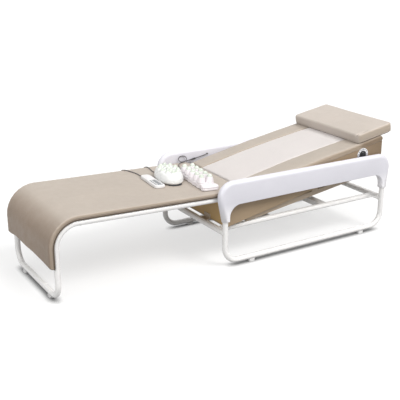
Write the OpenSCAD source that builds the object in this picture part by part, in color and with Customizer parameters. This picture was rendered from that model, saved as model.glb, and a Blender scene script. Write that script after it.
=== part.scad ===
/* [Frame tubes] */
// Outer diameter of the bent frame tubes
tube_d = 28; // [24:1:30]
// Wall of every steel tube
tube_wall = 1.6; // [1:0.1:3]
// Height of the rubber feet under the tubes
foot_h = 11; // [8:1:16]
// Diameter of the three cross tubes between the side frames
cross_d = 32; // [26:1:34]
// Gap left at a welded butt joint
weld_gap = 0.2; // [0.1:0.05:0.4]

/* [Leg section] */
// How far each leg rail's centre lies inside the body's side
rail_inset = 15; // [13:1:25]
// How far the foot upright stands from the hinge pin
leg_reach = 994; // [900:1:1050]
// Height of the leg rails' centre under the hinge pin
rail_z = 339; // [334:1:342]
// Rise of the leg rails towards the foot, in degrees
leg_rise = 2.05; // [1:0.05:3]
// Bend radius over the foot, at the tube's centre
leg_bend_r = 105; // [90:1:120]
// Bend radius at the floor bar's corners
floor_bend_r = 70; // [60:1:85]
// Thickness of the leg mat
mat_t = 24; // [18:1:28]
// How far the leg mat stands past the body's side
mat_overhang = 2; // [0:1:3]
// Height at which the hanging end of the mat stops
mat_drop_z = 188; // [150:1:230]
// Thickness of the plywood decks
deck_t = 10; // [8:1:15]

/* [Side frames] */
// Gap between the body and each armrest
armrest_gap = 5; // [4:1:15]
// X of the side frames' foot upright
sled_foot_x = -97; // [-110:1:-92]
// X of the side frames' head upright
sled_head_x = 929; // [920:1:945]
// Height of the tube inside the armrest
sled_top_z = 392; // [385:1:398]
// Bend radius of the side frames, at the tube's centre
sled_bend_r = 72; // [60:1:80]
// Depth of the armrest cover, inside to outside
armrest_w = 40; // [38:1:44]
// Top of the armrest cover at its foot end
armrest_top_z = 441; // [432:1:450]
// Lower edge of the armrest cover's long run
armrest_low_z = 318; // [305:1:330]
// Lower end of the armrest cover's two legs
armrest_end_z = 238; // [220:1:260]
// Wall of the armrest cover
armrest_wall = 3.5; // [2.5:0.5:5]

/* [Main body] */
// Half width of the body's side shells
body_half = 275; // [270:1:276]
// Slope of the body's top, in degrees
slope = 9.7; // [8:0.1:11]
// Height of the seam where the leg mat meets the body
seam_z = 373; // [371:1:376]
// Length of the body along its slope, from the hinge
body_len = 903; // [880:1:915]
// Thickness of the body's top pads
pad_t = 30; // [24:1:34]
// Half width of the pale centre panel
strip_half = 155; // [130:1:170]
// Thickness of the side shells
shell_t = 10; // [8:1:14]
// Height of the body's underside at its foot end
nose_z = 195; // [195:1:200]
// Rise of the underside, per unit of length
belly_rise_share = 0.186; // [0.17:0.002:0.19]

/* [Pillow] */
// Length of the pillow along the slope
pillow_len = 244; // [220:1:260]
// Thickness of the pillow
pillow_t = 50; // [40:1:60]
// Distance of the pillow's foot edge from the body's head end, along the slope
pillow_back = 170; // [150:1:185]
// How far each end of the pillow stays inside the body's side
pillow_inset = 1; // [0:1:20]

/* [Jade carriage] */
// Diameter of a jade roller
jade_d = 46; // [40:1:48]
// Distance between the two roller shafts
roller_pitch = 90; // [80:1:110]
// Travel of the carriage along the body
carriage_travel = 460; // [300:10:460]
// Diameter of the belt pulleys
pulley_d = 36; // [30:1:40]
// Diameter of the carriage wheels
wheel_d = 26; // [20:1:28]
// Distance from the middle to each guide rail's centre
guide_y = 150; // [140:1:160]

/* [Dial] */
// Outer diameter of the dial's chromed ring
dial_d = 74; // [68:1:80]
// Distance of the dial from the body's head end
dial_back = 150; // [135:1:165]
// Distance of the dial under the line of the body's top
dial_drop = 66; // [62:1:72]

/* [Handset and projectors] */
// Length of the handset
handset_len = 200; // [180:1:220]
// Width of the handset
handset_w = 56; // [50:1:60]
// Thickness of the handset
handset_t = 17; // [15:1:18]
// Travel of a handset key
key_travel = 1; // [0.6:0.1:1.2]
// Half the length of the oval projector, across the table
disc_r = 118; // [110:1:120]
// Height of the oval projector's case
disc_h = 54; // [48:1:58]
// Length of the long projector
bar_len = 290; // [260:1:300]
// Width of the long projector
bar_w = 96; // [88:1:97]
// Height of the long projector's base
bar_h = 26; // [20:1:30]
// Radius of a jade dome on the projectors
dome_r = 15; // [12:0.5:16]

/* [Hidden] */
$fn = 64;

// Clearances and overruns that several pieces share
over = 1;
seat_gap = 0.3;
run_gap = 0.05;
tube_r = tube_d / 2;
bore_r = tube_r - tube_wall;
edge_r = armrest_w / 2;
rail_y = body_half - rail_inset;
mat_half = body_half + mat_overhang;
sled_y = body_half + armrest_gap + edge_r;
pillow_half = body_half - pillow_inset;
pillow_u = body_len - pillow_back;
dial_x = body_len - dial_back;
cross_r = cross_d / 2;

// The hinge stands over the origin's X offset, so the whole part is centred on X
hinge_x = 40;
pin_r = 4;
pin_drop = 7;
pin_z = seam_z - pin_drop;
eye_r = 9;
crease = 6;
leg_x = hinge_x - leg_reach;
rail_end_x = hinge_x - 2 * eye_r;
floor_z = foot_h + tube_r;
body_head_x = hinge_x + body_len * cos(slope);
nose_x = sled_foot_x + cross_r + crease;
mat_bottom = tube_r;

function rail_line(x) = rail_z + (hinge_x - x) * tan(leg_rise);
function top_line(x) = seam_z + (x - hinge_x) * tan(slope);
function belly(x) = nose_z + (x - nose_x) * belly_rise_share;
function mix(a, b, t) = a + (b - a) * t;
dial_z = top_line(hinge_x + dial_x) - dial_drop;

// Colours of the photograph
tube_white = [0.93, 0.93, 0.94];
cover_white = [0.88, 0.88, 0.92];
beige = [0.72, 0.65, 0.55];
pale = [0.87, 0.83, 0.80];
brown = [0.50, 0.42, 0.33];
steel = [0.65, 0.66, 0.68];
jade = [0.80, 0.88, 0.78];
dark = [0.15, 0.15, 0.16];
wood = [0.76, 0.62, 0.44];

// A frame that follows the body's sloping top: X runs up the slope and Z stands square to it
module tilt() translate([hinge_x, 0, seam_z]) rotate([0, -slope, 0]) children();

// An outline in X and Z, drawn out along Y between two places
module slab_xz(points, y0, y1) {
    translate([0, y1, 0]) rotate([90, 0, 0]) linear_extrude(y1 - y0) polygon(points);
}

module ring_2d(r = tube_r) difference() { circle(r); circle(r - tube_wall); }

// A straight tube between two places in one X and Z plane
module run_xz(p, q, y, r = tube_r) {
    angle = atan2(q[1] - p[1], q[0] - p[0]);
    translate([p[0], y, p[1]]) rotate([0, 90 - angle, 0])
        linear_extrude(norm(q - p)) ring_2d(r);
}

// A bend in an X and Z plane, round a centre, between two angles
module bend_xz(c, y, r, a0, a1) {
    translate([c[0], y, c[1]]) rotate([90, 0, 0]) rotate([0, 0, a0])
        rotate_extrude(angle = a1 - a0) translate([r, 0]) ring_2d();
}

// A straight tube along Y
module run_y(x, z, y0, y1, r = tube_r) {
    translate([x, y0, z]) rotate([-90, 0, 0]) linear_extrude(y1 - y0) ring_2d(r);
}

// A block with rounded corners in plan, exact all over
module round_block(l, w, h, r) {
    linear_extrude(h) {
        square([l - 2 * r, w], center = true);
        square([l, w - 2 * r], center = true);
        for (sx = [-1, 1], sy = [-1, 1])
            translate([sx * (l / 2 - r), sy * (w / 2 - r)]) circle(r, $fn = 32);
    }
}

module both_sides() { children(); mirror([0, 1, 0]) children(); }

// A skin through rings of equal count, closed at both ends by a fan, or by a strip across the ring
module loft(rings, strip = false) {
    m = len(rings[0]);
    n = len(rings);
    last = (n - 1) * m;
    polyhedron(
        points = [for (ring = rings) for (p = ring) p],
        faces = concat(
            [for (i = [0 : n - 2], j = [0 : m - 1]) [i * m + j, i * m + (j + 1) % m, (i + 1) * m + j]],
            [for (i = [0 : n - 2], j = [0 : m - 1])
                [i * m + (j + 1) % m, (i + 1) * m + (j + 1) % m, (i + 1) * m + j]],
            strip ? strip_caps(m, last) : fan_caps(m, last)));
}
function fan_caps(m, last) = concat(
    [for (j = [1 : m - 2]) [0, j + 1, j]],
    [for (j = [1 : m - 2]) [last, last + j, last + j + 1]]);
function strip_caps(m, last) = concat(
    [for (j = [0 : m / 2 - 2]) [j, m - 2 - j, j + 1]],
    [for (j = [0 : m / 2 - 2]) [j, m - 1 - j, m - 2 - j]],
    [for (j = [0 : m / 2 - 2]) [last + j, last + j + 1, last + m - 2 - j]],
    [for (j = [0 : m / 2 - 2]) [last + j, last + m - 2 - j, last + m - 1 - j]]);

// Leg section

leg_arc_x = leg_x + leg_bend_r;
leg_arc_start_x = leg_arc_x + leg_bend_r * sin(leg_rise);
leg_arc_z = rail_line(leg_arc_start_x) - leg_bend_r * cos(leg_rise);
corner_z = floor_z + floor_bend_r;

// The bent side of the leg frame: the rail, then the bend with its upright
module leg_side() {
    run_xz([leg_arc_start_x + weld_gap, rail_line(leg_arc_start_x + weld_gap)],
           [rail_end_x, rail_line(rail_end_x)], rail_y);
    bend_xz([leg_arc_x, leg_arc_z], rail_y, leg_bend_r, 90 - leg_rise, 180);
    run_xz([leg_x, corner_z + weld_gap], [leg_x, leg_arc_z], rail_y);
}

// The floor bar turns up at both ends, in the plane of the uprights
module leg_floor_bar() {
    half = rail_y - floor_bend_r;
    run_y(leg_x, floor_z, weld_gap - half, half - weld_gap);
    both_sides() translate([leg_x, half, corner_z]) rotate([90, 0, 90]) rotate([0, 0, -90])
        rotate_extrude(angle = 90) translate([floor_bend_r, 0]) ring_2d();
}

module leg_frame() color(tube_white) {
    both_sides() leg_side();
    leg_floor_bar();
}

leg_cross_shares = [0.04, 0.36, 0.68, 0.98];
leg_cross_r = 10;
function leg_cross_x(s) = mix(rail_end_x - tube_r, leg_arc_x, s);

module leg_cross_tubes() color(tube_white)
    for (s = leg_cross_shares) {
        x = leg_cross_x(s);
        z = rail_line(x) + tube_r - deck_t - leg_cross_r - seat_gap;
        difference() {
            run_y(x, z, -rail_y, rail_y, leg_cross_r);
            both_sides() run_solid(x, rail_y, tube_r + weld_gap);
        }
    }

// The space that a leg rail takes, for coping the tubes that meet it
module run_solid(x, y, r) {
    translate([x, y, rail_line(x)]) rotate([0, 90 + leg_rise, 0])
        cylinder(r = r, h = 4 * tube_d, center = true);
}

// The deck lies between the rails, level with their tops
module leg_deck() color(wood) {
    half = rail_y - tube_r - weld_gap;
    x0 = leg_arc_start_x;
    x1 = rail_end_x;
    top0 = rail_line(x0) + tube_r;
    top1 = rail_line(x1) + tube_r;
    slab_xz([[x0, top0 - deck_t], [x1, top1 - deck_t], [x1, top1], [x0, top0]], -half, half);
}

// Shares of half width and of thickness round the mat's section, from one lower edge over the top
mat_section_shares = [[-0.975, 0], [-0.992, 0.14], [-1, 0.42], [-0.996, 0.68], [-0.984, 0.88],
    [-0.955, 0.98], [-0.9, 1.0], [-0.62, 1.02], [-0.32, 1.04], [0, 1.05], [0.32, 1.04],
    [0.62, 1.02], [0.9, 1.0], [0.955, 0.98], [0.984, 0.88], [0.996, 0.68], [1, 0.42],
    [0.992, 0.14], [0.975, 0]];
// How full the mat is near its ends: the share of the way to the first station, and of thickness
mat_end_shares = [[0, 0.35], [0.15, 0.62], [0.45, 0.86], [1, 1]];
mat_end_run = 22;
mat_draw_in = 3;
mat_clear = 0.5;
mat_lift = mat_bottom + mat_clear;
mat_crown_share = 1.05;
mat_middle_share = 0.4;
mat_turns = 14;
// The mat is narrower by the hinges, with square steps
notch_gap = 3;
mat_notch_run = eye_r + notch_gap;
mat_notch_half = rail_y - tube_r - notch_gap / 2;

// A place on the mat's underside and the way up from it, at a distance from the hinge end
mat_flat_run = (hinge_x - crease - leg_arc_start_x) / cos(leg_rise);
mat_arc_run = (leg_bend_r + mat_lift) * (90 + leg_rise) * PI / 180;
mat_drop_run = leg_arc_z - mat_drop_z;
mat_run = mat_flat_run + mat_arc_run + mat_drop_run;

function mat_turn(s) = max(0, min(1, (s - mat_flat_run) / mat_arc_run)) * (90 - leg_rise) + leg_rise;
function mat_base(s) =
    s <= mat_flat_run
        ? [hinge_x - crease - s * cos(leg_rise), rail_line(hinge_x - crease - s * cos(leg_rise))]
          + [0, mat_lift]
        : [leg_arc_x, leg_arc_z] + (leg_bend_r + mat_lift) * [-sin(mat_turn(s)), cos(mat_turn(s))]
          - [0, max(0, s - mat_flat_run - mat_arc_run)];
function mat_up(s) = [-sin(mat_turn(s)), cos(mat_turn(s))];
function mat_full(d) =
    d >= mat_end_run ? 1 : lookup(d / mat_end_run, mat_end_shares);
function mat_ring(s, half_here = mat_half) =
    let (b = mat_base(s), u = mat_up(s), full = mat_full(min(s, mat_run - s)),
         half = half_here - mat_draw_in * sin(180 * s / mat_run) - (1 - full) * mat_t / 3)
    [for (p = mat_section_shares)
        [b[0] + u[0] * mat_t * mat_thick(p[1], full), p[0] * half,
         b[1] + u[1] * mat_t * mat_thick(p[1], full)]];
function mat_thick(share, full) = mat_middle_share + (share - mat_middle_share) * full;

module leg_mat() color(beige) {
    ends = [for (e = mat_end_shares) e[0] * mat_end_run];
    flats = [for (k = [1 : 6]) mat_end_run + (mat_flat_run - mat_end_run) * k / 6];
    turns = [for (k = [1 : mat_turns]) mat_flat_run + mat_arc_run * k / mat_turns];
    drops = [mat_run - mat_end_run];
    stations = concat(ends, flats, turns, drops,
                      [for (k = [2 : -1 : 0]) mat_run - mat_end_shares[k][0] * mat_end_run]);
    loft(concat([for (s = ends) if (s < mat_notch_run) mat_ring(s, mat_notch_half)],
                [mat_ring(mat_notch_run, mat_notch_half), mat_ring(mat_notch_run + weld_gap)],
                [for (s = stations) if (s > mat_notch_run + weld_gap) mat_ring(s)]));
}

// Room for a hinge in the corner of a pad
module hinge_notch() {
    reach = eye_r + crease;
    translate([hinge_x, rail_y, pin_z])
        cube([2 * reach, 2 * tube_r + 2 * notch_gap, 6 * reach], center = true);
}

// Rubber feet: short pads under the tubes, grouped as one node
pad_l = 34;
pad_w = 26;
module foot_pad() round_block(pad_l, pad_w, foot_h, pad_w / 3);

leg_feet_share = 0.62;
module leg_feet() color(tube_white)
    both_sides() translate([leg_x, rail_y * leg_feet_share, 0]) rotate(90) foot_pad();

// Each rail ends in a disc with a fin up to the hinge pin
fin_t = 6;
end_t = 3;
end_x = rail_end_x + tube_r * tan(leg_rise) + weld_gap;
module leg_hinge_plates() color(steel) both_sides() {
    z = rail_line(rail_end_x);
    difference() {
        union() {
            translate([end_x, rail_y, z]) rotate([0, 90, 0]) cylinder(r = tube_r, h = end_t);
            slab_xz([[end_x + end_t / 2, z - eye_r], [end_x + end_t / 2, z + tube_r - end_t],
                     [hinge_x - eye_r, pin_z + eye_r / 3], [hinge_x, pin_z + eye_r / 3],
                     [hinge_x + eye_r * 0.6, pin_z - eye_r * 0.6], [hinge_x, pin_z - 1.1 * eye_r]],
                    rail_y - fin_t / 2, rail_y + fin_t / 2);
            translate([hinge_x, rail_y, pin_z]) rotate([90, 0, 0])
                cylinder(r = eye_r, h = fin_t, center = true);
        }
        translate([hinge_x, rail_y, pin_z]) rotate([90, 0, 0])
            cylinder(r = pin_r + run_gap, h = fin_t + 2 * over, center = true);
    }
}

// Side frames

module sled(side) {
    y = side * sled_y;
    lo = floor_z + sled_bend_r;
    hi = sled_top_z - sled_bend_r;
    fx = sled_foot_x + sled_bend_r;
    hx = sled_head_x - sled_bend_r;
    run_xz([fx + weld_gap, floor_z], [hx - weld_gap, floor_z], y);
    run_xz([fx + weld_gap, sled_top_z], [hx - weld_gap, sled_top_z], y);
    bend_xz([fx, lo], y, sled_bend_r, 180, 270);
    run_xz([sled_foot_x, lo], [sled_foot_x, hi], y);
    bend_xz([fx, hi], y, sled_bend_r, 90, 180);
    bend_xz([hx, lo], y, sled_bend_r, 270, 360);
    run_xz([sled_head_x, lo], [sled_head_x, hi], y);
    bend_xz([hx, hi], y, sled_bend_r, 0, 90);
}

module sled_left() color(tube_white) sled(-1);
module sled_right() color(tube_white) sled(1);

// Each armrest is moulded over its tube: a long run with round corners and a sleeve at each end
cover_corner_r = 80;
cover_hollow_r = 58;
cover_foot_reach = 43;
cover_head_reach = 32;
cover_foot_x = sled_foot_x - cover_foot_reach;
cover_head_x = sled_head_x + cover_head_reach;
cover_soft = 1.5;
cover_leg_half = tube_r + armrest_wall + cover_soft;
cover_top_fall = 9;

foot_corner = [cover_foot_x + cover_corner_r, armrest_top_z - cover_corner_r];
head_corner = [cover_head_x - cover_corner_r, armrest_top_z - cover_top_fall - cover_corner_r];
foot_end = [sled_foot_x - cover_leg_half, armrest_end_z];
head_end = [sled_head_x + cover_leg_half, armrest_end_z];

top_way = atan2(head_corner[1] - foot_corner[1], head_corner[0] - foot_corner[0]);
top_touch = 90 + top_way;

// Where a line from a point touches a corner's circle, as an angle, on one side or the other
function touch(c, r, p, side) =
    atan2(p[1] - c[1], p[0] - c[0]) - side * acos(r / norm(p - c));
function at_angle(c, r, a) = c + r * [cos(a), sin(a)];
foot_touch = touch(foot_corner, cover_corner_r, foot_end, 1);
head_touch = touch(head_corner, cover_corner_r, head_end, -1);

function arc(c, r, a0, a1) =
    [for (k = [0 : arc_steps]) at_angle(c, r, a0 + (a1 - a0) * k / arc_steps)];
arc_steps = 8;
inner_edge_share = 0.3;
cover_angles = [-90, -72, -54, -34, -12, 12, 34, 54, 72, 90];

// The outline at one depth: over the top from foot to head, then back round the window
function cover_ring(a) =
    let (inset = edge_r * (1 - cos(a)), soft = inset * inner_edge_share,
         r = cover_hollow_r + soft, hollow_z = armrest_low_z - cover_hollow_r,
         x0 = sled_foot_x + cover_leg_half, x1 = sled_head_x - cover_leg_half,
         low = armrest_end_z + soft / 2, end = [inset, soft / 2])
    [for (p = concat(
        [foot_end + end],
        arc(foot_corner, cover_corner_r - inset, 360 + foot_touch, top_touch),
        arc(head_corner, cover_corner_r - inset, top_touch, head_touch),
        [head_end + [-inset, soft / 2], [x1 + soft, low]],
        arc([x1 - cover_hollow_r, hollow_z], r, 0, 90),
        arc([x0 + cover_hollow_r, hollow_z], r, 90, 180),
        [[x0 - soft, low]])) [p[0], edge_r * sin(a), p[1]]];

module armrest_cover(side) translate([0, side * sled_y, 0]) difference() {
    loft([for (a = cover_angles) cover_ring(a)], true);
    tube_channel(tube_r + seat_gap);
    translate([sled_head_x, 0, head_tube_z]) rotate([90 * side, 0, 0])
        cylinder(r = tube_r + seat_gap, h = armrest_w);
}

// The room that a side frame takes inside its armrest
module tube_channel(r) {
    hi = sled_top_z - sled_bend_r;
    for (x = [sled_foot_x, sled_head_x]) translate([x, 0, 0]) cylinder(r = r, h = hi);
    for (end = [0, 1])
        translate([end == 0 ? sled_foot_x + sled_bend_r : sled_head_x - sled_bend_r, 0, hi])
            rotate([90, 0, 0]) rotate([0, 0, 90 - 90 * end])
                rotate_extrude(angle = 90) translate([sled_bend_r, 0]) circle(r);
    translate([sled_foot_x + sled_bend_r, 0, sled_top_z]) rotate([0, 90, 0])
        cylinder(r = r, h = sled_head_x - sled_foot_x - 2 * sled_bend_r);
}

module armrest_cover_left() color(cover_white) armrest_cover(-1);
module armrest_cover_right() color(cover_white) armrest_cover(1);

// Lower frame

lower_z = nose_z - tube_r - crease / 4;
lower_y = sled_y - tube_d - cross_d - weld_gap;
cross_z = lower_z + tube_r - cross_r;

module lower_side_rails() color(tube_white) both_sides() difference() {
    run_xz([sled_foot_x, lower_z], [sled_head_x, lower_z], lower_y);
    for (x = [sled_foot_x, sled_head_x]) translate([x, lower_y, cross_z]) rotate([90, 0, 0])
        cylinder(r = cross_r + weld_gap, h = 2 * tube_d, center = true);
}

beam_h = 24;
beam_w = 24;
beam_rise_share = 0.1405;
beam_start_x = hinge_x + beam_w;
beam_foot_z = lower_z + tube_r + seat_gap;
beam_base = belly(beam_start_x) - weld_gap;
function beam_top(x) = beam_base + (x - beam_start_x) * beam_rise_share;
head_tube_z = beam_top(sled_head_x) - beam_h / 2;

module end_cross_tubes() color(tube_white) difference() {
    union() {
        run_y(sled_foot_x, cross_z, -sled_y, sled_y, cross_r);
        run_y(sled_head_x, cross_z, -sled_y, sled_y, cross_r);
        run_y(sled_head_x, head_tube_z, -sled_y, sled_y, tube_r);
    }
    both_sides() translate([0, sled_y, 0]) tube_channel(tube_r + weld_gap);
}

mid_cross_shares = [0.29, 0.65];
mid_cross_w = 44;
module mid_cross_tubes() color(tube_white) for (s = mid_cross_shares) {
    x = mix(sled_foot_x, sled_head_x, s);
    difference() {
        translate([x, 0, lower_z]) cube([mid_cross_w, 2 * lower_y, tube_d - 2 * tube_wall], center = true);
        translate([x, 0, lower_z])
            cube([mid_cross_w - 2 * tube_wall, 2 * lower_y + 2 * over, tube_d - 4 * tube_wall], center = true);
        both_sides() translate([x, lower_y, lower_z]) rotate([0, 90, 0])
            cylinder(r = tube_r + weld_gap, h = mid_cross_w + 2 * over, center = true);
    }
}

// Curved plates outside the lower rails, in the corners by the uprights
gusset_t = 8;
gusset_r = sled_y - tube_r - lower_y - tube_r;
module frame_gussets() color(tube_white) both_sides() for (end = [0, 1])
    translate([end == 0 ? sled_foot_x + cross_r + weld_gap : sled_head_x - cross_r - weld_gap,
               lower_y + tube_r + weld_gap, lower_z - gusset_t / 2])
        mirror([end, 0, 0]) difference() {
            cube([gusset_r, gusset_r - 2 * weld_gap, gusset_t]);
            translate([gusset_r, gusset_r, -over])
                cylinder(r = gusset_r - tube_wall * 2, h = gusset_t + 2 * over);
        }

// Sloping beams under the body, from the lower rails to the head tube
module support_beams() color(pale) both_sides() difference() {
    x1 = sled_head_x - tube_r - weld_gap;
    meet_x = beam_start_x + max(0, beam_foot_z + beam_h - beam_base) / beam_rise_share;
    slab_xz([[beam_start_x, beam_foot_z], [beam_start_x, beam_top(beam_start_x)], [x1, beam_top(x1)],
             [x1, beam_top(x1) - beam_h], [meet_x, beam_foot_z]],
            lower_y - beam_w / 2, lower_y + beam_w / 2);
    translate([sled_head_x, 0, head_tube_z]) rotate([90, 0, 0])
        cylinder(r = tube_r + weld_gap, h = 2 * sled_y, center = true);
}

post_w = 20;
post_y = 120;
// Posts between the middle cross tubes and the base pan
module pan_posts() color(tube_white) both_sides() for (s = mid_cross_shares) {
    x = mix(sled_foot_x, sled_head_x, s);
    z0 = lower_z + tube_d / 2 - tube_wall + weld_gap;
    slab_xz([[x - post_w / 2, z0], [x + post_w / 2, z0],
             [x + post_w / 2, belly(x + post_w / 2) - weld_gap],
             [x - post_w / 2, belly(x - post_w / 2) - weld_gap]],
            post_y - post_w / 2, post_y + post_w / 2);
}

spacer_shares = [0.5, 0.93];
angle_y = 104;
angle_w = 57;
angle_t = 3;
angle_reach = 8;
angle_up = 27;
// An angle bracket between the foot cross tube and the body's foot panel
module foot_bracket() {
    x0 = sled_foot_x - angle_reach;
    x1 = nose_x - weld_gap;
    z0 = cross_z + cross_r + weld_gap;
    slab_xz([[x0, z0], [x1, z0], [x1, z0 + angle_up], [x1 - angle_t, z0 + angle_up],
             [x1 - angle_t, z0 + angle_t], [x0, z0 + angle_t]],
            angle_y - angle_w / 2, angle_y + angle_w / 2);
}
// Blocks between the beams and the base pan, with the brackets at the foot end
module body_spacers() color(pale) both_sides() {
    foot_bracket();
    for (s = spacer_shares) spacer(s);
}
module spacer(s) {
    x = mix(beam_start_x, sled_head_x, s);
    slab_xz([[x - post_w, beam_top(x - post_w) + weld_gap], [x + post_w, beam_top(x + post_w) + weld_gap],
             [x + post_w, belly(x + post_w) - weld_gap], [x - post_w, belly(x - post_w) - weld_gap]],
            lower_y - beam_w / 2, lower_y + beam_w / 2);
}

sled_feet_shares = [0.155, 0.862];
module sled_feet() color(tube_white) both_sides() for (s = sled_feet_shares)
    translate([mix(sled_foot_x, sled_head_x, s), sled_y, 0]) foot_pad();

// Main body

nose_top_z = rail_line(nose_x) - tube_r - 2 * crease;
pad_foot_x = hinge_x + crease;
shell_drop = pad_t / cos(slope) + weld_gap;
pan_t = 6;
panel_t = 4;

shell_foot_x = hinge_x + eye_r + crease;
module side_shell() slab_xz([[nose_x, belly(nose_x)], [body_head_x, belly(body_head_x)],
        [body_head_x, top_line(body_head_x) - shell_drop],
        [shell_foot_x, top_line(shell_foot_x) - shell_drop],
        [shell_foot_x, nose_top_z], [nose_x, nose_top_z]],
    body_half - shell_t, body_half);

module side_shell_left() color(brown) mirror([0, 1, 0]) difference() {
    side_shell();
    translate([hinge_x + dial_x, body_half, dial_z]) rotate([90, 0, 0])
        cylinder(r = dial_bore_r, h = 4 * shell_t, center = true);
}
module side_shell_right() color(brown) side_shell();

inner_half = body_half - shell_t - weld_gap;

// The foot panel turns back over the nose, under the leg rails
module foot_panel() color(brown)
    slab_xz([[nose_x, belly(nose_x) + pan_t], [nose_x + panel_t, belly(nose_x) + pan_t + weld_gap * 5],
             [nose_x + panel_t, nose_top_z - panel_t], [pad_foot_x, nose_top_z - panel_t],
             [pad_foot_x, nose_top_z], [nose_x, nose_top_z]], -inner_half, inner_half);

module head_panel() color(brown)
    slab_xz([[body_head_x - shell_t, belly(body_head_x - shell_t) + pan_t + weld_gap],
             [body_head_x, belly(body_head_x) + pan_t + weld_gap],
             [body_head_x, top_line(body_head_x) - shell_drop],
             [body_head_x - shell_t, top_line(body_head_x - shell_t) - shell_drop]],
            -inner_half, inner_half);

module base_pan() color(brown)
    slab_xz([[nose_x, belly(nose_x)], [body_head_x, belly(body_head_x)],
             [body_head_x, belly(body_head_x) + pan_t], [nose_x, belly(nose_x) + pan_t - weld_gap]],
            -inner_half, inner_half);

// Places along the slope of the things inside
slot_u0 = 66;
slot_back = 189;
slot_u1 = body_len - slot_back;
slot_half = 112;
bulk_drop = 98;
head_u = body_len - 2 * shell_t / cos(slope) - bulk_drop * tan(slope) - crease;
foot_bulk_u = crease + eye_r;

module top_deck() color(wood) tilt() difference() {
    translate([foot_bulk_u + shell_t, -inner_half, -pad_t - deck_t - weld_gap])
        cube([head_u - foot_bulk_u - shell_t, 2 * inner_half, deck_t]);
    translate([slot_u0, -slot_half, -pad_t - 2 * deck_t]) cube([slot_u1 - slot_u0, 2 * slot_half, 3 * deck_t]);
}

// Cross walls that carry the guide rails: one by the hinge, one by the head
guide_w = -72;
module bulkheads() color(steel) tilt() {
    translate([foot_bulk_u, -inner_half, -bulk_drop])
        cube([shell_t, 2 * inner_half, bulk_drop - pad_t - 2 * seat_gap]);
    translate([head_u, -inner_half, -bulk_drop])
        cube([shell_t - weld_gap, 2 * inner_half, bulk_drop - pad_t - 2 * seat_gap]);
}

guide_h = 16;
guide_flange = 14;
module guide_rails() color(steel) tilt() both_sides() {
    u0 = foot_bulk_u + shell_t + weld_gap;
    len_u = head_u - u0 - weld_gap;
    translate([u0, guide_y - guide_flange / 2, guide_w - guide_h]) cube([len_u, guide_flange, guide_h]);
}

// The pads' section: shares across from the strip to the side, and of the thickness
bolster_shares = [[0, 0], [0, 0.8], [0.03, 0.94], [0.09, 1], [0.3, 1.03], [0.55, 1.04], [0.78, 1.0],
    [0.9, 0.93], [0.965, 0.8], [0.995, 0.58], [1, 0.3], [0.995, 0.08], [0.985, 0]];
bolster_end_shares = [[0, 0.5], [0.2, 0.72], [0.55, 0.92], [1, 1]];
bolster_end_run = 16;
bolster_droop = 7;

function bolster_ring(u, total) =
    let (d = min(u, total - u),
         full = d >= bolster_end_run ? 1 : lookup(d / bolster_end_run, bolster_end_shares),
         droop = bolster_droop * (1 - u / total))
    [for (p = bolster_shares)
        [crease / cos(slope) + u, strip_half + weld_gap + p[0] * (body_half - strip_half - weld_gap),
         -pad_t + p[1] * pad_t * full - droop * p[1] * pow(p[0], 4)]];

module body_pad() {
    total = body_len - crease;
    ends = [for (e = bolster_end_shares) e[0] * bolster_end_run];
    mids = [for (k = [1 : 11]) bolster_end_run + (total - 2 * bolster_end_run) * k / 11];
    tails = [for (k = [2 : -1 : 0]) total - bolster_end_shares[k][0] * bolster_end_run];
    difference() {
        tilt() loft([for (u = concat(ends, mids, tails)) bolster_ring(u, total)]);
        hinge_notch();
    }
}

module body_pad_right() color(beige) body_pad();
module body_pad_left() color(beige) mirror([0, 1, 0]) body_pad();

// The pale centre panel, hollow below where the jade rollers press on it
skin_t = 5;
module center_panel() color(pale) tilt() difference() {
    translate([crease, -strip_half, -pad_t]) cube([body_len - crease, 2 * strip_half, pad_t]);
    translate([slot_u0, -slot_half, -pad_t - over])
        cube([slot_u1 - slot_u0, 2 * slot_half, pad_t - skin_t + over]);
}

// The pillow is a loft across the body: shares along it and of its thickness
pillow_shares = [[0.012, 0.06], [0, 0.3], [0, 0.7], [0.015, 0.9], [0.06, 1], [0.2, 1.03], [0.5, 1.05],
    [0.8, 1.03], [0.94, 1], [0.985, 0.9], [1, 0.7], [1, 0.3], [0.988, 0.06], [0.95, 0], [0.5, 0], [0.05, 0]];
pillow_end_shares = [[0, 0.7], [0.16, 0.86], [0.5, 0.96], [1, 1]];
pillow_end_run = 26;
pillow_draw_in = 3;

function pillow_ring(y) =
    let (d = pillow_half - abs(y),
         full = d >= pillow_end_run ? 1 : lookup(d / pillow_end_run, pillow_end_shares),
         pull = pillow_draw_in * cos(90 * y / pillow_half) + (1 - full) * pillow_end_run / 2)
    [for (p = pillow_shares)
        [pillow_u + pull + p[0] * (pillow_len - 2 * pull), y,
         pillow_seat + pillow_t * (pillow_middle_share
             + (p[1] - pillow_middle_share) * (p[1] < pillow_foot_share ? 1 : full))]];
pillow_lift = 1.2;
pillow_seat = seat_gap + pillow_lift;
pillow_middle_share = 0.45;
pillow_foot_share = 0.1;

module pillow() color(beige) tilt() {
    outer = [for (e = pillow_end_shares) pillow_half - e[0] * pillow_end_run];
    mids = [for (k = [1 : 9]) mix(pillow_half - pillow_end_run, pillow_end_run - pillow_half, k / 10)];
    loft([for (y = concat(outer, mids, [for (k = [3 : -1 : 0]) -outer[k]])) pillow_ring(y)]);
}

// Hinge

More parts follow.
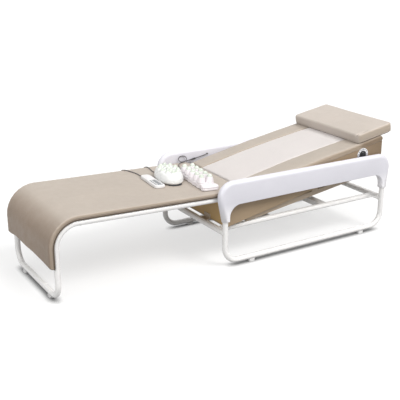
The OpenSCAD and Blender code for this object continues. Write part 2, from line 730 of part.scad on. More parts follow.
ear_t = 5;
ear_gap = 2;
ear_y = fin_t / 2 + ear_gap;
module hinge_ears() color(steel) {
    back_x = hinge_x + foot_bulk_u - crease / 4;
    foot_z = nose_top_z + seat_gap;
    both_sides() for (y0 = [rail_y + ear_y, rail_y - ear_y - ear_t]) difference() {
        union() {
            slab_xz([[back_x, foot_z], [back_x, top_line(back_x) - shell_drop], [hinge_x + eye_r, pin_z],
                     [hinge_x - eye_r, pin_z], [hinge_x, foot_z]], y0, y0 + ear_t);
            translate([hinge_x, y0, pin_z]) rotate([-90, 0, 0]) cylinder(r = eye_r, h = ear_t);
        }
        translate([hinge_x, y0 - over, pin_z]) rotate([-90, 0, 0])
            cylinder(r = pin_r + run_gap, h = ear_t + 2 * over);
    }
}

pin_head = 2;
module hinge_pins() color(steel) both_sides() {
    half = ear_y + ear_t;
    translate([hinge_x, rail_y, pin_z]) rotate([90, 0, 0]) {
        cylinder(r = pin_r, h = 2 * half, center = true);
        translate([0, 0, half]) cylinder(r = 1.5 * pin_r, h = pin_head);
    }
}

// Rubber rests on the nose, under the leg rails
bumper_share = 0.25;
module rail_bumpers() color(dark) both_sides() {
    x = mix(nose_x, rail_end_x, bumper_share);
    translate([x, rail_y, nose_top_z]) difference() {
        cylinder(r = tube_r - shell_t / 2, h = rail_line(x) - nose_top_z);
        translate([-x, -rail_y, -nose_top_z]) run_solid(x, rail_y, tube_r + seat_gap);
    }
}

// Carriage and drive, all in the sloping frame

car_u = 160;
wheel_r = wheel_d / 2;
axle_r = 4;
wheel_t = 8;
car_w = guide_w + wheel_r + seat_gap;
plate_t = 5;
plate_reach_share = 1.4;
plate_half_u = roller_pitch / 2 + wheel_d * plate_reach_share;
plate_half_y = guide_y - guide_flange;
axle_u = plate_half_u - wheel_r - over;
jade_r = jade_d / 2;
shaft_r = 4;
jade_gap = 2;
jade_w = -skin_t - jade_gap - jade_r;
jade_shares = [-0.62, -0.24, 0.24, 0.62];

// A plate with upright cheeks: the cheeks hold the wheel axles and the roller shafts
module carriage_plate() color(steel) tilt() translate([car_u, 0, 0]) difference() {
    union() {
        translate([-plate_half_u, -plate_half_y, car_w - axle_r - 2 * plate_t])
            cube([2 * plate_half_u, 2 * plate_half_y, plate_t]);
        for (s = [-1, 1])
            translate([-plate_half_u, s * (slot_half - plate_t) - plate_t / 2, car_w - axle_r - 2 * plate_t])
                cube([2 * plate_half_u, plate_t, jade_w - car_w + 2 * axle_r + 3 * plate_t]);
    }
    for (s = [-1, 1]) {
        translate([s * axle_u, 0, car_w]) rotate([90, 0, 0])
            cylinder(r = axle_r + run_gap, h = 2 * guide_y, center = true);
        translate([s * roller_pitch / 2, 0, jade_w]) rotate([90, 0, 0])
            cylinder(r = shaft_r + run_gap, h = 2 * guide_y, center = true);
    }
}

module wheelset(end) color(dark) tilt() translate([car_u + end * axle_u, 0, car_w]) rotate([90, 0, 0]) {
    cylinder(r = axle_r, h = 2 * guide_y - wheel_t, center = true);
    for (s = [-1, 1]) translate([0, 0, s * guide_y]) cylinder(r = wheel_r, h = wheel_t, center = true);
}
module front_wheelset() wheelset(-1);
module rear_wheelset() wheelset(1);

// A shaft with jade balls along it
module jade_rollers(end) color(jade)
    tilt() translate([car_u + end * roller_pitch / 2, 0, jade_w]) rotate([90, 0, 0]) {
    cylinder(r = shaft_r, h = 2 * slot_half - 3 * weld_gap, center = true);
    for (s = jade_shares) translate([0, 0, s * slot_half]) intersection() {
        sphere(r = jade_r);
        cylinder(r = jade_r, h = 1.5 * jade_r, center = true);
    }
}
module front_jade_rollers() jade_rollers(-1);
module rear_jade_rollers() jade_rollers(1);

heater_r = 5;
heater_len_share = 1.4;
module heater_tubes() color("gold")
    tilt() translate([car_u, 0, car_w - axle_r - plate_t + heater_r]) rotate([90, 0, 0])
        for (s = [-1, 1]) translate([s * heater_r * 2, 0, 0])
            cylinder(r = heater_r, h = heater_len_share * slot_half, center = true);

pulley_r = pulley_d / 2;
belt_w = 12;
belt_t = 2;
idler_u = foot_bulk_u + shell_t + pulley_r + 2 * shell_t;
drive_u = head_u - pulley_r - 2 * shell_t;
pulley_w = car_w - axle_r - 2 * plate_t - belt_t - pulley_r - weld_gap;

module belt_outline(r) {
    translate([idler_u, 0]) circle(r);
    translate([drive_u, 0]) circle(r);
    translate([idler_u, -r]) square([drive_u - idler_u, 2 * r]);
}
module drive_belt() color(dark) tilt() translate([0, belt_w / 2, pulley_w]) rotate([90, 0, 0])
    linear_extrude(belt_w) difference() { belt_outline(pulley_r + belt_t); belt_outline(pulley_r); }

module pulley(u) tilt() translate([u, 0, pulley_w]) rotate([90, 0, 0]) difference() {
    union() {
        cylinder(r = pulley_r - weld_gap, h = belt_w + 2 * belt_t, center = true);
        for (s = [-1, 1]) translate([0, 0, s * (belt_w / 2 + belt_t)])
            cylinder(r = pulley_r + belt_t, h = belt_t, center = true);
    }
    cylinder(r = shaft_r + run_gap, h = 2 * belt_w, center = true);
}
module drive_pulley() color(steel) pulley(drive_u);

// The idler turns on the bracket that stands on the base pan
module idler_pulley() color(steel) pulley(idler_u);

motor_r = 30;
motor_l = 110;
bracket_t = 4;
module gear_motor() color(dark) tilt() {
    translate([drive_u, 0, pulley_w]) rotate([90, 0, 0]) {
        cylinder(r = shaft_r, h = 3 * belt_w, center = true);
        translate([0, 0, 1.5 * belt_w]) cylinder(r = motor_r, h = motor_l);
    }
    translate([idler_u, 0, pulley_w]) rotate([90, 0, 0]) cylinder(r = shaft_r, h = 3 * belt_w, center = true);
    for (u = [idler_u, drive_u], s = [-1, 1]) if (u == idler_u || s > 0)
        translate([u - pulley_r, s * 1.5 * belt_w + (s > 0 ? 0 : -bracket_t), -bulk_drop - shell_t])
            cube([2 * pulley_r, bracket_t, bulk_drop + shell_t + pulley_w + 2 * shaft_r]);
}

board_l = 150;
board_w = 100;
board_t = 2;
board_back = 330;
board_x = body_head_x - board_back;
board_lift = 8;
post_r = 3;
board_depth_share = 0.77;
post_u_shares = [0.06, 0.94];
post_v_shares = [0.06, 0.7];
chip_shares = [0.2, 0.3, 0.25];
heat_sink_shares = [0.62, 0.24, 0.3];
module on_pan(x, y) translate([x, y, belly(x) + pan_t]) rotate([0, -atan(belly_rise_share), 0]) children();

module control_board() color("green") on_pan(board_x, inner_half - board_w) {
    translate([0, 0, board_lift]) cube([board_l, board_w * board_depth_share, board_t]);
    for (u = post_u_shares, v = post_v_shares) translate([u * board_l, v * board_w, seat_gap])
        cylinder(r = post_r, h = board_lift, $fn = 24);
    for (c = [chip_shares, heat_sink_shares])
        translate([c[0] * board_l, chip_shares[0] * board_w, board_lift + board_t])
            cube([c[1] * board_l, c[2] * board_w, board_lift]);
}

supply_l = 120;
supply_h = 30;
supply_gap = 48;
module power_supply() color(steel) on_pan(board_x - supply_l - supply_gap, inner_half - board_w)
    translate([0, 0, seat_gap]) cube([supply_l, board_w * board_depth_share, supply_h]);

// Dial in the near side shell

dial_r = dial_d / 2;
dial_rim = 10;
dial_bore_r = dial_r - dial_rim;
dial_wall = 3;
dial_gap = 2;
dial_lip = 2.5;
grip_wide_share = 0.25;
grip_long_share = 1.44;
dial_depth = 9.5;
module at_dial() translate([hinge_x + dial_x, -body_half, dial_z]) rotate([90, 0, 0]) children();

module dial_ring() color(steel) at_dial() difference() {
    union() {
        translate([0, 0, weld_gap / 2]) cylinder(r = dial_r, h = dial_lip);
        translate([0, 0, -dial_depth]) cylinder(r = dial_bore_r - weld_gap, h = dial_depth + weld_gap);
    }
    translate([0, 0, -dial_depth + dial_lip])
        cylinder(r = dial_bore_r - dial_wall, h = dial_depth + 2 * dial_lip);
    translate([0, 0, -dial_depth - over]) cylinder(r = shaft_r + run_gap, h = dial_depth);
}

module dial_knob() color(dark) at_dial() {
    translate([0, 0, -dial_depth + dial_lip + seat_gap])
        cylinder(r = dial_bore_r - dial_wall - dial_gap, h = dial_depth - dial_lip);
    translate([0, 0, -dial_depth - 2 * dial_lip]) cylinder(r = shaft_r, h = 4 * dial_lip);
    translate([-dial_bore_r * grip_wide_share / 2, -dial_bore_r * grip_long_share / 2, weld_gap])
        cube([dial_bore_r * grip_wide_share, dial_bore_r * grip_long_share, dial_lip]);
}

// Handset and projectors, lying on the leg mat

function lie_z(x) = rail_line(x) + mat_lift + mat_t * mat_crown_share + seat_gap;
module on_mat(x, y, turn) translate([x, y, lie_z(x)]) rotate([0, leg_rise, 0]) rotate(turn) children();

handset_x = -331;
handset_y = 4;
handset_turn = 86;
case_step_share = 0.7;
case_in_share = 0.4;
key_r = 6;
key_shares = [-0.36, -0.24, -0.12];
key_up = 1.5;

module at_handset() on_mat(handset_x, handset_y, handset_turn) children();
module handset_case() color(cover_white) at_handset() difference() {
    union() {
        round_block(handset_len, handset_w, handset_t * case_step_share, handset_w / 3);
        translate([0, 0, handset_t * case_step_share])
            round_block(handset_len - handset_t * case_in_share, handset_w - handset_t * case_in_share,
                        handset_t * (1 - case_step_share), handset_w / 3 - handset_t * case_in_share / 2);
    }
    for (s = key_shares) translate([s * handset_len, 0, handset_t - 4 * key_up])
        cylinder(r = key_r + seat_gap, h = handset_t);
}
module handset_key(s) color(steel) at_handset() translate([s * handset_len, 0, handset_t - 3 * key_up])
    cylinder(r = key_r, h = 4 * key_up);
module handset_key_up() handset_key(key_shares[2]);
module handset_key_mode() handset_key(key_shares[1]);
module handset_key_down() handset_key(key_shares[0]);

disc_x = -230;
disc_y = 20;
disc_turn = -12;
disc_wide_share = 0.576;
disc_sides = 36;
module at_disc() on_mat(disc_x, disc_y, disc_turn) children();
disc_profile_shares = [[0.8, 0], [0.81, 0.07], [0.96, 0.11], [1, 0.22], [0.99, 0.42], [0.95, 0.62],
    [0.9, 0.8], [0.83, 0.94], [0.7, 1]];
function disc_ring(p) = [for (k = [disc_sides : -1 : 1]) let (a = 360 * k / disc_sides)
    [p[0] * disc_r * disc_wide_share * cos(a), p[0] * disc_r * sin(a), p[1] * disc_h]];
module disc_case() color(cover_white) at_disc() loft([for (p = disc_profile_shares) disc_ring(p)]);

disc_ring_share = 0.62;
disc_ring_count = 10;
disc_row_share = 0.28;
disc_dome_shares = [0.76, 0.9];
dome_h = 14;
module jade_dome(r) intersection() {
    translate([0, 0, dome_h - r]) sphere(r = r, $fn = 32);
    cylinder(r = 2 * r, h = 2 * dome_h);
}
module disc_jades() color(jade) at_disc() translate([0, 0, disc_h + weld_gap]) {
    for (k = [1 : disc_ring_count]) let (a = (k + 0.5) * 360 / disc_ring_count)
        translate([disc_ring_share * disc_r * disc_wide_share * cos(a), disc_ring_share * disc_r * sin(a), 0])
            jade_dome(dome_r * disc_dome_shares[0]);
    for (v = [-1, 0, 1]) translate([0, v * disc_r * disc_row_share, 0])
        jade_dome(dome_r * disc_dome_shares[1]);
}

bar_x = -122;
bar_y = -92;
bar_turn = 84;
bar_cup_h = 27;
bar_rows = [-1, 1];
bar_cols = 5;
bar_end_shares = [-0.26, 0.42];
bar_row_share = 0.23;
bar_step_share = 0.6;
bar_round_shares = [0.22, 0.18];
cup_wide_share = 1.42;
cup_top_share = 1.04;
module at_bar() on_mat(bar_x, bar_y, bar_turn) children();
module bar_places() for (r = bar_rows, k = [0 : bar_cols - 1])
    translate([mix(bar_end_shares[0], bar_end_shares[1], k / (bar_cols - 1)) * bar_len,
               r * bar_w * bar_row_share, 0])
        children();
module bar_case() color(cover_white) at_bar() {
    step = bar_h * (1 - bar_step_share);
    round_block(bar_len, bar_w, bar_h - step, bar_w * bar_round_shares[0]);
    translate([0, 0, bar_h - step])
        round_block(bar_len - step, bar_w - step, step, bar_w * bar_round_shares[1]);
    translate([0, 0, bar_h]) bar_places()
        cylinder(r1 = dome_r * cup_wide_share, r2 = dome_r * cup_top_share, h = bar_cup_h);
}
module bar_jades() color(jade) at_bar() translate([0, 0, bar_h + bar_cup_h + weld_gap])
    bar_places() jade_dome(dome_r);

// The cords' supply box hangs under the deck, by the third cross tube
socket_gap = 35;
socket_x = leg_cross_x(leg_cross_shares[2]) + socket_gap;
socket_l = 130;
socket_w = 46;
socket_h = 52;
socket_y = rail_y - tube_r - socket_w - 2 * seat_gap;
socket_top_z = rail_line(socket_x + socket_l) + tube_r - deck_t - seat_gap;
module socket_box() color(cover_white)
    slab_xz([[socket_x, socket_top_z - socket_h], [socket_x + socket_l, socket_top_z - socket_h],
             [socket_x + socket_l, rail_line(socket_x + socket_l) + tube_r - deck_t - seat_gap],
             [socket_x, rail_line(socket_x) + tube_r - deck_t - seat_gap]], socket_y, socket_y + socket_w);

// Cords: routes chosen by hand, with a ring of eight sides at each point
cord_r = 2.3;
cord_sides = 8;
socket_face_y = socket_y + socket_w;
handset_route = [[-334, 105, 399], [-333, 120, 397], [-331, 145, 395], [-331, 175, 395], [-335, 200, 395],
    [-342, 225, 395], [-350, 248, 395], [-358, 266, 394], [-364, 280, 388], [-368, 286, 370], [-372, 289, 345],
    [-378, 290, 310], [-388, 290, 275], [-405, 290, 245], [-430, 290, 228], [-455, 289, 226], [-475, 287, 238],
    [-488, 281, 262], [-494, 272, 286], [-496, 264, 304], [-496, 257, 312], [-496, 252, 314],
    [-496, 245.8, 314]];
disc_route = [[-236, 132.8, 400], [-237, 145, 397], [-238, 160, 393], [-236, 180, 391], [-232, 200, 391],
    [-228, 225, 391], [-224, 250, 391], [-226, 266, 390], [-230, 284, 382], [-234, 294, 360], [-240, 297, 325],
    [-250, 298, 285], [-268, 298, 245], [-295, 298, 212], [-330, 298, 190], [-370, 298, 179], [-410, 298, 180],
    [-450, 297, 192], [-485, 294, 212], [-508, 288, 240], [-518, 279, 270], [-522, 268, 296], [-523, 258, 312],
    [-523, 252, 314], [-523, 245.8, 314]];
// The long projector's cord ends in a loop that leans on the far armrest: over the seam it meets the lead
loop_steps = 16;
loop_mid = [-2, 262, 398.2];
loop_wide = 24;
loop_high = 15;
loop_drift = 6;
loop_lean = 11;
bar_start = [[-103.5, 55.5, 397], [-102, 68, 394], [-98, 86, 389], [-92, 112, 386], [-85, 142, 386],
    [-76, 174, 386], [-63, 206, 385.4], [-49, 228, 385], [-33, 246, 384.5], [-18, 257, 383.8]];
bar_end = [[12, 269.5, 383.6], [28, 270, 384.5], [45, 270.3, 386], [61.9, 270.6, 388]];
bar_route = concat(bar_start,
    [for (k = [0 : loop_steps]) let (a = 360 * k / loop_steps - 90)
        loop_mid + [loop_wide * cos(a), loop_drift * k / loop_steps + loop_lean * (1 + sin(a)) / 2,
                    loop_high * sin(a)]],
    bar_end);
lead_route = [[79, 270.6, 390.5], [90, 271, 392], [105, 271.5, 394.2], [120, 272.2, 396.8], [140, 273, 400],
    [152, 274.5, 402], [160, 275.5, 403]];

// The routes were chosen for one half width, which their ends follow, and for one place of the supply box
route_half = 275;
route_near_y = 105;
route_edge_y = 245;
route_box_x = -539.76;
function follow(route, box = 0) = [for (i = [0 : len(route) - 1])
    let (p = route[i], share = max(0, min(1, (p[1] - route_near_y) / (route_edge_y - route_near_y))))
    p + [box * (socket_x - route_box_x) * i / (len(route) - 1), share * (body_half - route_half), 0]];

function unit(v) = v / norm(v);
function route_way(route, i) =
    unit(route[min(i + 1, len(route) - 1)] - route[max(i - 1, 0)]);
function cord_ring(route, i) =
    let (t = route_way(route, i), a = unit(cross(t, [0.31, 0.17, 1])), b = cross(t, a))
    [for (k = [0 : cord_sides - 1])
        route[i] + cord_r * (cos(360 * k / cord_sides) * a - sin(360 * k / cord_sides) * b)];
module cord(route) color(dark) loft([for (i = [0 : len(route) - 1]) cord_ring(route, i)]);

module handset_cord() cord(follow(handset_route, 1));
module disc_cord() cord(follow(disc_route, 1));
module bar_cord() cord(follow(bar_route));

// The armrest's lead: an inline coupler over the pad's edge and a plug in the far armrest
coupler_r = 4.5;
coupler_l = 17;
coupler_tilt = 98;
plug_t = 3;
module armrest_lead() color(dark) {
    route = follow(lead_route);
    plug = route[len(route) - 1];
    cord(route);
    translate(route[0] + [weld_gap, 0, 0]) rotate([0, -coupler_tilt, 0])
        cylinder(r = coupler_r, h = coupler_l, $fn = 24);
    translate([plug[0], sled_y - edge_r - seat_gap, plug[2]]) rotate([90, 0, 0])
        cylinder(r = coupler_r, h = plug_t, $fn = 24);
}

leg_frame();
leg_cross_tubes();
leg_deck();
leg_mat();
leg_feet();
leg_hinge_plates();
sled_left();
sled_right();
armrest_cover_left();
armrest_cover_right();
lower_side_rails();
end_cross_tubes();
mid_cross_tubes();
frame_gussets();
support_beams();
pan_posts();
body_spacers();
sled_feet();
side_shell_left();
side_shell_right();
foot_panel();
head_panel();
base_pan();
top_deck();
bulkheads();
guide_rails();
body_pad_left();
body_pad_right();
center_panel();
pillow();
hinge_ears();
hinge_pins();
rail_bumpers();
carriage_plate();
front_wheelset();
rear_wheelset();
front_jade_rollers();
rear_jade_rollers();
drive_belt();
drive_pulley();
idler_pulley();
gear_motor();
control_board();
power_supply();
heater_tubes();
dial_ring();
dial_knob();
handset_case();
handset_key_up();
handset_key_mode();
handset_key_down();
disc_case();
disc_jades();
bar_case();
bar_jades();
socket_box();
handset_cord();
disc_cord();
bar_cord();
armrest_lead();
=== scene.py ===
import math
import bpy
import bmesh
import numpy as np
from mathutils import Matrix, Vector, noise


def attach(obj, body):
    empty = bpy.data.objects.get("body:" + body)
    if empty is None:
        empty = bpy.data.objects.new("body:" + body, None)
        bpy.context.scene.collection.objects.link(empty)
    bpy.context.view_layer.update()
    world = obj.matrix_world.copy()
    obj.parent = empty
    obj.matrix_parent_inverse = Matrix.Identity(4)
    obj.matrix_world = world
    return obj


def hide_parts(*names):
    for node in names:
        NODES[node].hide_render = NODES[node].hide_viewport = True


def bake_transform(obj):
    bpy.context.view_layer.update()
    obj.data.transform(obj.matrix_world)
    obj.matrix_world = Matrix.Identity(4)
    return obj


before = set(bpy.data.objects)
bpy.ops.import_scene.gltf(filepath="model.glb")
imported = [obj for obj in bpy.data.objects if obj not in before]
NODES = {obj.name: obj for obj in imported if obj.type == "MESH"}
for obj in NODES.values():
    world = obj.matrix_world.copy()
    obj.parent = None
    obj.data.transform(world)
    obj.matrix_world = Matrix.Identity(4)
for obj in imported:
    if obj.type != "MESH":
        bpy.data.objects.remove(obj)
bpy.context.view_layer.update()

QUARTER = math.pi / 2
SCENE = bpy.context.scene


# Camera: where the photo was taken from

CAMERA_AT = (-2.1164, -3.3478, 1.6299)
CAMERA_DOWN, CAMERA_TURN = 19.3, -31.6
SENSOR_MM, LENS_MM = 36.0, 72.46

view = bpy.data.cameras.new("camera")
view.sensor_width = SENSOR_MM
view.lens = LENS_MM
view.clip_end = 100
camera = bpy.data.objects.new("camera", view)
camera.location = CAMERA_AT
camera.rotation_euler = (math.radians(90 - CAMERA_DOWN), 0, math.radians(CAMERA_TURN))
SCENE.collection.objects.link(camera)
SCENE.camera = camera


# Cord routes, in millimetres: the same points as in part.scad

CORD_R = 0.00225
HANDSET_ROUTE = [(-334, 105, 399), (-333, 120, 397), (-331, 145, 395), (-331, 175, 395), (-335, 200, 395),
    (-342, 225, 395), (-350, 248, 395), (-358, 266, 394), (-364, 280, 388), (-368, 286, 370),
    (-372, 289, 345), (-378, 290, 310), (-388, 290, 275), (-405, 290, 245), (-430, 290, 228),
    (-455, 289, 226), (-475, 287, 238), (-488, 281, 262), (-494, 272, 286), (-496, 264, 304),
    (-496, 257, 312), (-496, 252, 314), (-496, 245.8, 314)]
DISC_ROUTE = [(-236, 132.8, 400), (-237, 145, 397), (-238, 160, 393), (-236, 180, 391), (-232, 200, 391),
    (-228, 225, 391), (-224, 250, 391), (-226, 266, 390), (-230, 284, 382), (-234, 294, 360), (-240, 297, 325),
    (-250, 298, 285), (-268, 298, 245), (-295, 298, 212), (-330, 298, 190), (-370, 298, 179), (-410, 298, 180),
    (-450, 297, 192), (-485, 294, 212), (-508, 288, 240), (-518, 279, 270), (-522, 268, 296), (-523, 258, 312),
    (-523, 252, 314), (-523, 245.8, 314)]
LOOP_MID, LOOP_R, LOOP_POINTS = (-2, 262, 398.2), (24, 15), 16
LOOP_STEP, LOOP_LEAN = 6, 5.5


def cord_loop():
    """One turn that leans and steps sideways, so that the cord passes clear of itself."""
    out = []
    for k in range(LOOP_POINTS + 1):
        a = math.radians(360 * k / LOOP_POINTS - 90)
        out.append((LOOP_MID[0] + LOOP_R[0] * math.cos(a),
                    LOOP_MID[1] + LOOP_STEP * k / LOOP_POINTS + LOOP_LEAN * (1 + math.sin(a)),
                    LOOP_MID[2] + LOOP_R[1] * math.sin(a)))
    return out


BAR_ROUTE = [(-103.5, 55.5, 397), (-102, 68, 394), (-98, 86, 389), (-92, 112, 386), (-85, 142, 386),
    (-76, 174, 386), (-63, 206, 385.4), (-49, 228, 385), (-33, 246, 384.5), (-18, 257, 383.8)] + cord_loop() + [
    (12, 269.5, 383.6), (28, 270, 384.5), (45, 270.3, 386), (61.9, 270.6, 388)]
LEAD_ROUTE = [(79, 270.6, 390.5), (90, 271, 392), (105, 271.5, 394.2), (120, 272.2, 396.8), (140, 273, 400),
    (152, 274.5, 402), (160, 275.5, 403)]


def smooth_route(route, per=5):
    """The route in metres, with points added on a smooth curve through the given ones."""
    p = np.array(route, float) / 1000
    p = np.vstack([2 * p[0] - p[1], p, 2 * p[-1] - p[-2]])
    out = []
    for i in range(1, len(p) - 2):
        for k in range(per):
            t = k / per
            a, b, c, d = p[i - 1], p[i], p[i + 1], p[i + 2]
            out.append(0.5 * (2 * b + (c - a) * t + (2 * a - 5 * b + 4 * c - d) * t * t
                              + (3 * b - a - 3 * c + d) * t ** 3))
    out.append(p[-2])
    return np.array(out)


# Mesh helpers

def finish_mesh(name, verts, faces):
    """A smooth-shaded object from vertices and faces, with its normals turned outwards."""
    mesh = bpy.data.meshes.new(name)
    mesh.from_pydata([tuple(map(float, v)) for v in verts], [], [tuple(f) for f in faces])
    bm = bmesh.new()
    bm.from_mesh(mesh)
    bmesh.ops.recalc_face_normals(bm, faces=bm.faces)
    bm.to_mesh(mesh)
    bm.free()
    for p in mesh.polygons:
        p.use_smooth = True
    obj = bpy.data.objects.new(name, mesh)
    SCENE.collection.objects.link(obj)
    return obj


def skin(rings, caps="fan"):
    """Vertices and faces of a closed form through rings of equal count: its ends are fans, strips or joined."""
    n, m = len(rings), len(rings[0])
    verts = [p for ring in rings for p in ring]
    faces = []
    for i in range(n if caps == "joined" else n - 1):
        here, there = i * m, (i + 1) % n * m
        faces += [(here + j, here + (j + 1) % m, there + (j + 1) % m, there + j) for j in range(m)]
    if caps == "fan":
        faces += [range(m), range((n - 1) * m, n * m)[::-1]]
    elif caps == "strip":
        for base in (0, (n - 1) * m):
            faces += [(base + j, base + j + 1, base + m - 2 - j, base + m - 1 - j) for j in range(m // 2 - 1)]
    return verts, faces


def sweep_tube(path, radius, sides=12, closed=False):
    """A round tube along points, with a radius that may change along it."""
    p = np.array(path, float)
    n = len(p)
    radii = radius if hasattr(radius, "__len__") else [radius] * n
    rings, a = [], None
    for i in range(n):
        t = p[(i + 1) % n] - p[i - 1] if closed else p[min(i + 1, n - 1)] - p[max(i - 1, 0)]
        t = t / (np.linalg.norm(t) + 1e-12)
        if a is None:
            a = np.cross(t, [0.31, 0.17, 1.0])
        a = a - t * np.dot(a, t)
        a = a / np.linalg.norm(a)
        b = np.cross(t, a)
        rings.append([p[i] + radii[i] * (math.cos(2 * math.pi * k / sides) * a
                                         + math.sin(2 * math.pi * k / sides) * b) for k in range(sides)])
    return skin(rings, "joined" if closed else "fan")


def lerp(a, b, t):
    return a + (b - a) * t


def arc(cx, cy, r, start, sweep, n):
    """The n + 1 points of a circular arc, its start and sweep in radians."""
    turns = [start + sweep * k / n for k in range(n + 1)]
    return [(cx + r * math.cos(a), cy + r * math.sin(a)) for a in turns]


def line(a, b, n):
    """The n points from a towards b, without b."""
    return [(lerp(a[0], b[0], k / n), lerp(a[1], b[1], k / n)) for k in range(n)]


def oval(a, b, n):
    return [(a * math.cos(2 * math.pi * k / n), b * math.sin(2 * math.pi * k / n)) for k in range(n)]


def rounded_plan(l, w, r, n=8):
    """A rectangle with corners of radius r."""
    x, y = l / 2 - r, w / 2 - r
    pts = []
    for cx, cy, start in ((x, y, 0), (-x, y, 90), (-x, -y, 180), (x, -y, 270)):
        pts += arc(cx, cy, r, math.radians(start), QUARTER, n)
    return pts


def scaled(outline, share):
    return [(share * x, share * y) for x, y in outline]


def stacked(levels):
    """A closed form through outlines: each level is (outline, height)."""
    return skin([[(x, y, z) for x, y in outline] for outline, z in levels])


def shifted(geometry, x, y=0.0):
    return [(p[0] + x, p[1] + y, p[2]) for p in geometry[0]], geometry[1]


def merge(parts):
    verts, faces = [], []
    for v, f in parts:
        o = len(verts)
        verts += list(v)
        faces += [tuple(i + o for i in face) for face in f]
    return verts, faces


def piece(name, geometry, body, material, replaces=()):
    """A piece of the visual model: it rides on a body, and may stand for CAD nodes."""
    obj = finish_mesh(name, *geometry)
    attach(obj, body)
    if replaces:
        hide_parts(*replaces)
    obj.data.materials.append(M[material])
    return obj


def n3(x, y, z, scale, seed=0.0):
    """Smooth noise from -1 to 1, the same on each run."""
    return noise.noise(Vector((x * scale + seed, y * scale + 1.7 * seed, z * scale - seed)))


def smoothstep(a, b, x):
    t = min(1.0, max(0.0, (x - a) / (b - a)))
    return t * t * (3 - 2 * t)


def groove(x, centre, width):
    """A rounded furrow: 1 at the centre, 0 beyond the width."""
    t = abs(x - centre) / width
    return 0.0 if t >= 1 else (1 - t * t) ** 2


def rounded(d, r):
    """How full a form with a rounded end is at a distance d from it: 0 at the end, 1 from r on."""
    return math.sqrt(max(0.0, 1 - (1 - min(1.0, d / r)) ** 2))


# Materials

class Shader:
    """A node material in the making: coord and facing are the object's own place and normal."""

    def __init__(self, name, rough, **sockets):
        self.mat = bpy.data.materials.new(name)
        self.mat.use_nodes = True
        self.tree = self.mat.node_tree
        self.tree.nodes.clear()
        out = self.add("ShaderNodeOutputMaterial")
        self.bsdf = self.add("ShaderNodeBsdfPrincipled")
        self.link(self.bsdf.outputs[0], out.inputs[0])
        self.bsdf.inputs["Roughness"].default_value = rough
        for key, value in sockets.items():
            self.bsdf.inputs[key.replace("_", " ")].default_value = value
        place = self.add("ShaderNodeTexCoord")
        self.coord, self.facing = place.outputs["Object"], place.outputs["Normal"]
        self.height = None

    def add(self, kind, **props):
        node = self.tree.nodes.new(kind)
        for k, v in props.items():
            setattr(node, k, v)
        return node

    def link(self, a, b):
        self.tree.links.new(a, b)

    def texture(self, kind, scale, **props):
        """A texture node in object space: the scale is one number, or one for each axis."""
        place = self.add("ShaderNodeMapping")
        place.inputs["Scale"].default_value = scale if hasattr(scale, "__len__") else (scale,) * 3
        self.link(self.coord, place.inputs[0])
        n = self.add(kind, **props)
        n.inputs["Scale"].default_value = 1.0
        self.link(place.outputs[0], n.inputs["Vector"])
        return n

    def noise(self, scale, detail=3.0, rough=0.5, distort=0.0):
        n = self.texture("ShaderNodeTexNoise", scale)
        n.inputs["Detail"].default_value = detail
        n.inputs["Roughness"].default_value = rough
        n.inputs["Distortion"].default_value = distort
        return n.outputs["Fac"]

    def bands(self, scale, axis):
        return self.texture("ShaderNodeTexWave", scale, bands_direction=axis).outputs["Fac"]

    def math(self, op, a, b=None, clamp=False):
        n = self.add("ShaderNodeMath", operation=op)
        n.use_clamp = clamp
        for i, v in enumerate((a, b)):
            if isinstance(v, (int, float)):
                n.inputs[i].default_value = v
            elif v is not None:
                self.link(v, n.inputs[i])
        return n.outputs[0]

    def ramp(self, fac, stops):
        """A ramp through (place, grey or colour) stops."""
        n = self.add("ShaderNodeValToRGB")
        cr = n.color_ramp
        while len(cr.elements) < len(stops):
            cr.elements.new(0.5)
        for e, (pos, col) in zip(cr.elements, stops):
            e.position = pos
            e.color = (*col, 1) if hasattr(col, "__len__") else (col, col, col, 1)
        self.link(fac, n.inputs[0])
        return n.outputs[0]

    def mix(self, fac, a, b, kind="MIX"):
        n = self.add("ShaderNodeMix", data_type="RGBA", blend_type=kind)
        for i, v in ((0, fac), (6, a), (7, b)):
            if hasattr(v, "is_linked"):
                self.link(v, n.inputs[i])
            elif hasattr(v, "__len__"):
                n.inputs[i].default_value = (*v, 1)
            else:
                n.inputs[i].default_value = v
        return n.outputs[2]

    def colour(self, socket):
        self.link(socket, self.bsdf.inputs["Base Color"])

    def roughness(self, fac, stops):
        self.link(self.ramp(fac, stops), self.bsdf.inputs["Roughness"])

    def bump(self, height, distance, strength):
        n = self.add("ShaderNodeBump")
        n.inputs["Strength"].default_value = strength
        n.inputs["Distance"].default_value = distance
        self.link(height, n.inputs["Height"])
        if self.height is not None:
            self.link(self.height, n.inputs["Normal"])
        self.height = n.outputs[0]
        self.link(self.height, self.bsdf.inputs["Normal"])

    def part(self, vector, axis):
        n = self.add("ShaderNodeSeparateXYZ")
        self.link(vector, n.inputs[0])
        return n.outputs[axis]

    def varied(self, c, fac, low, high):
        """A colour that goes from a darker to a lighter tone of itself."""
        return self.ramp(fac, [(0.3, tone(c, low)), (0.7, tone(c, high))])

    def tinted(self, base, fac, tint):
        """The base colour, multiplied by a tint where fac is 1."""
        return self.mix(fac, base, self.mix(1.0, base, tint, "MULTIPLY"))

    def edges(self, stops):
        """How far a place is an edge (high) or a hollow (low), through a ramp."""
        return self.ramp(self.add("ShaderNodeNewGeometry").outputs["Pointiness"], stops)


def tone(c, k):
    return tuple(min(1.0, x * k) for x in c)


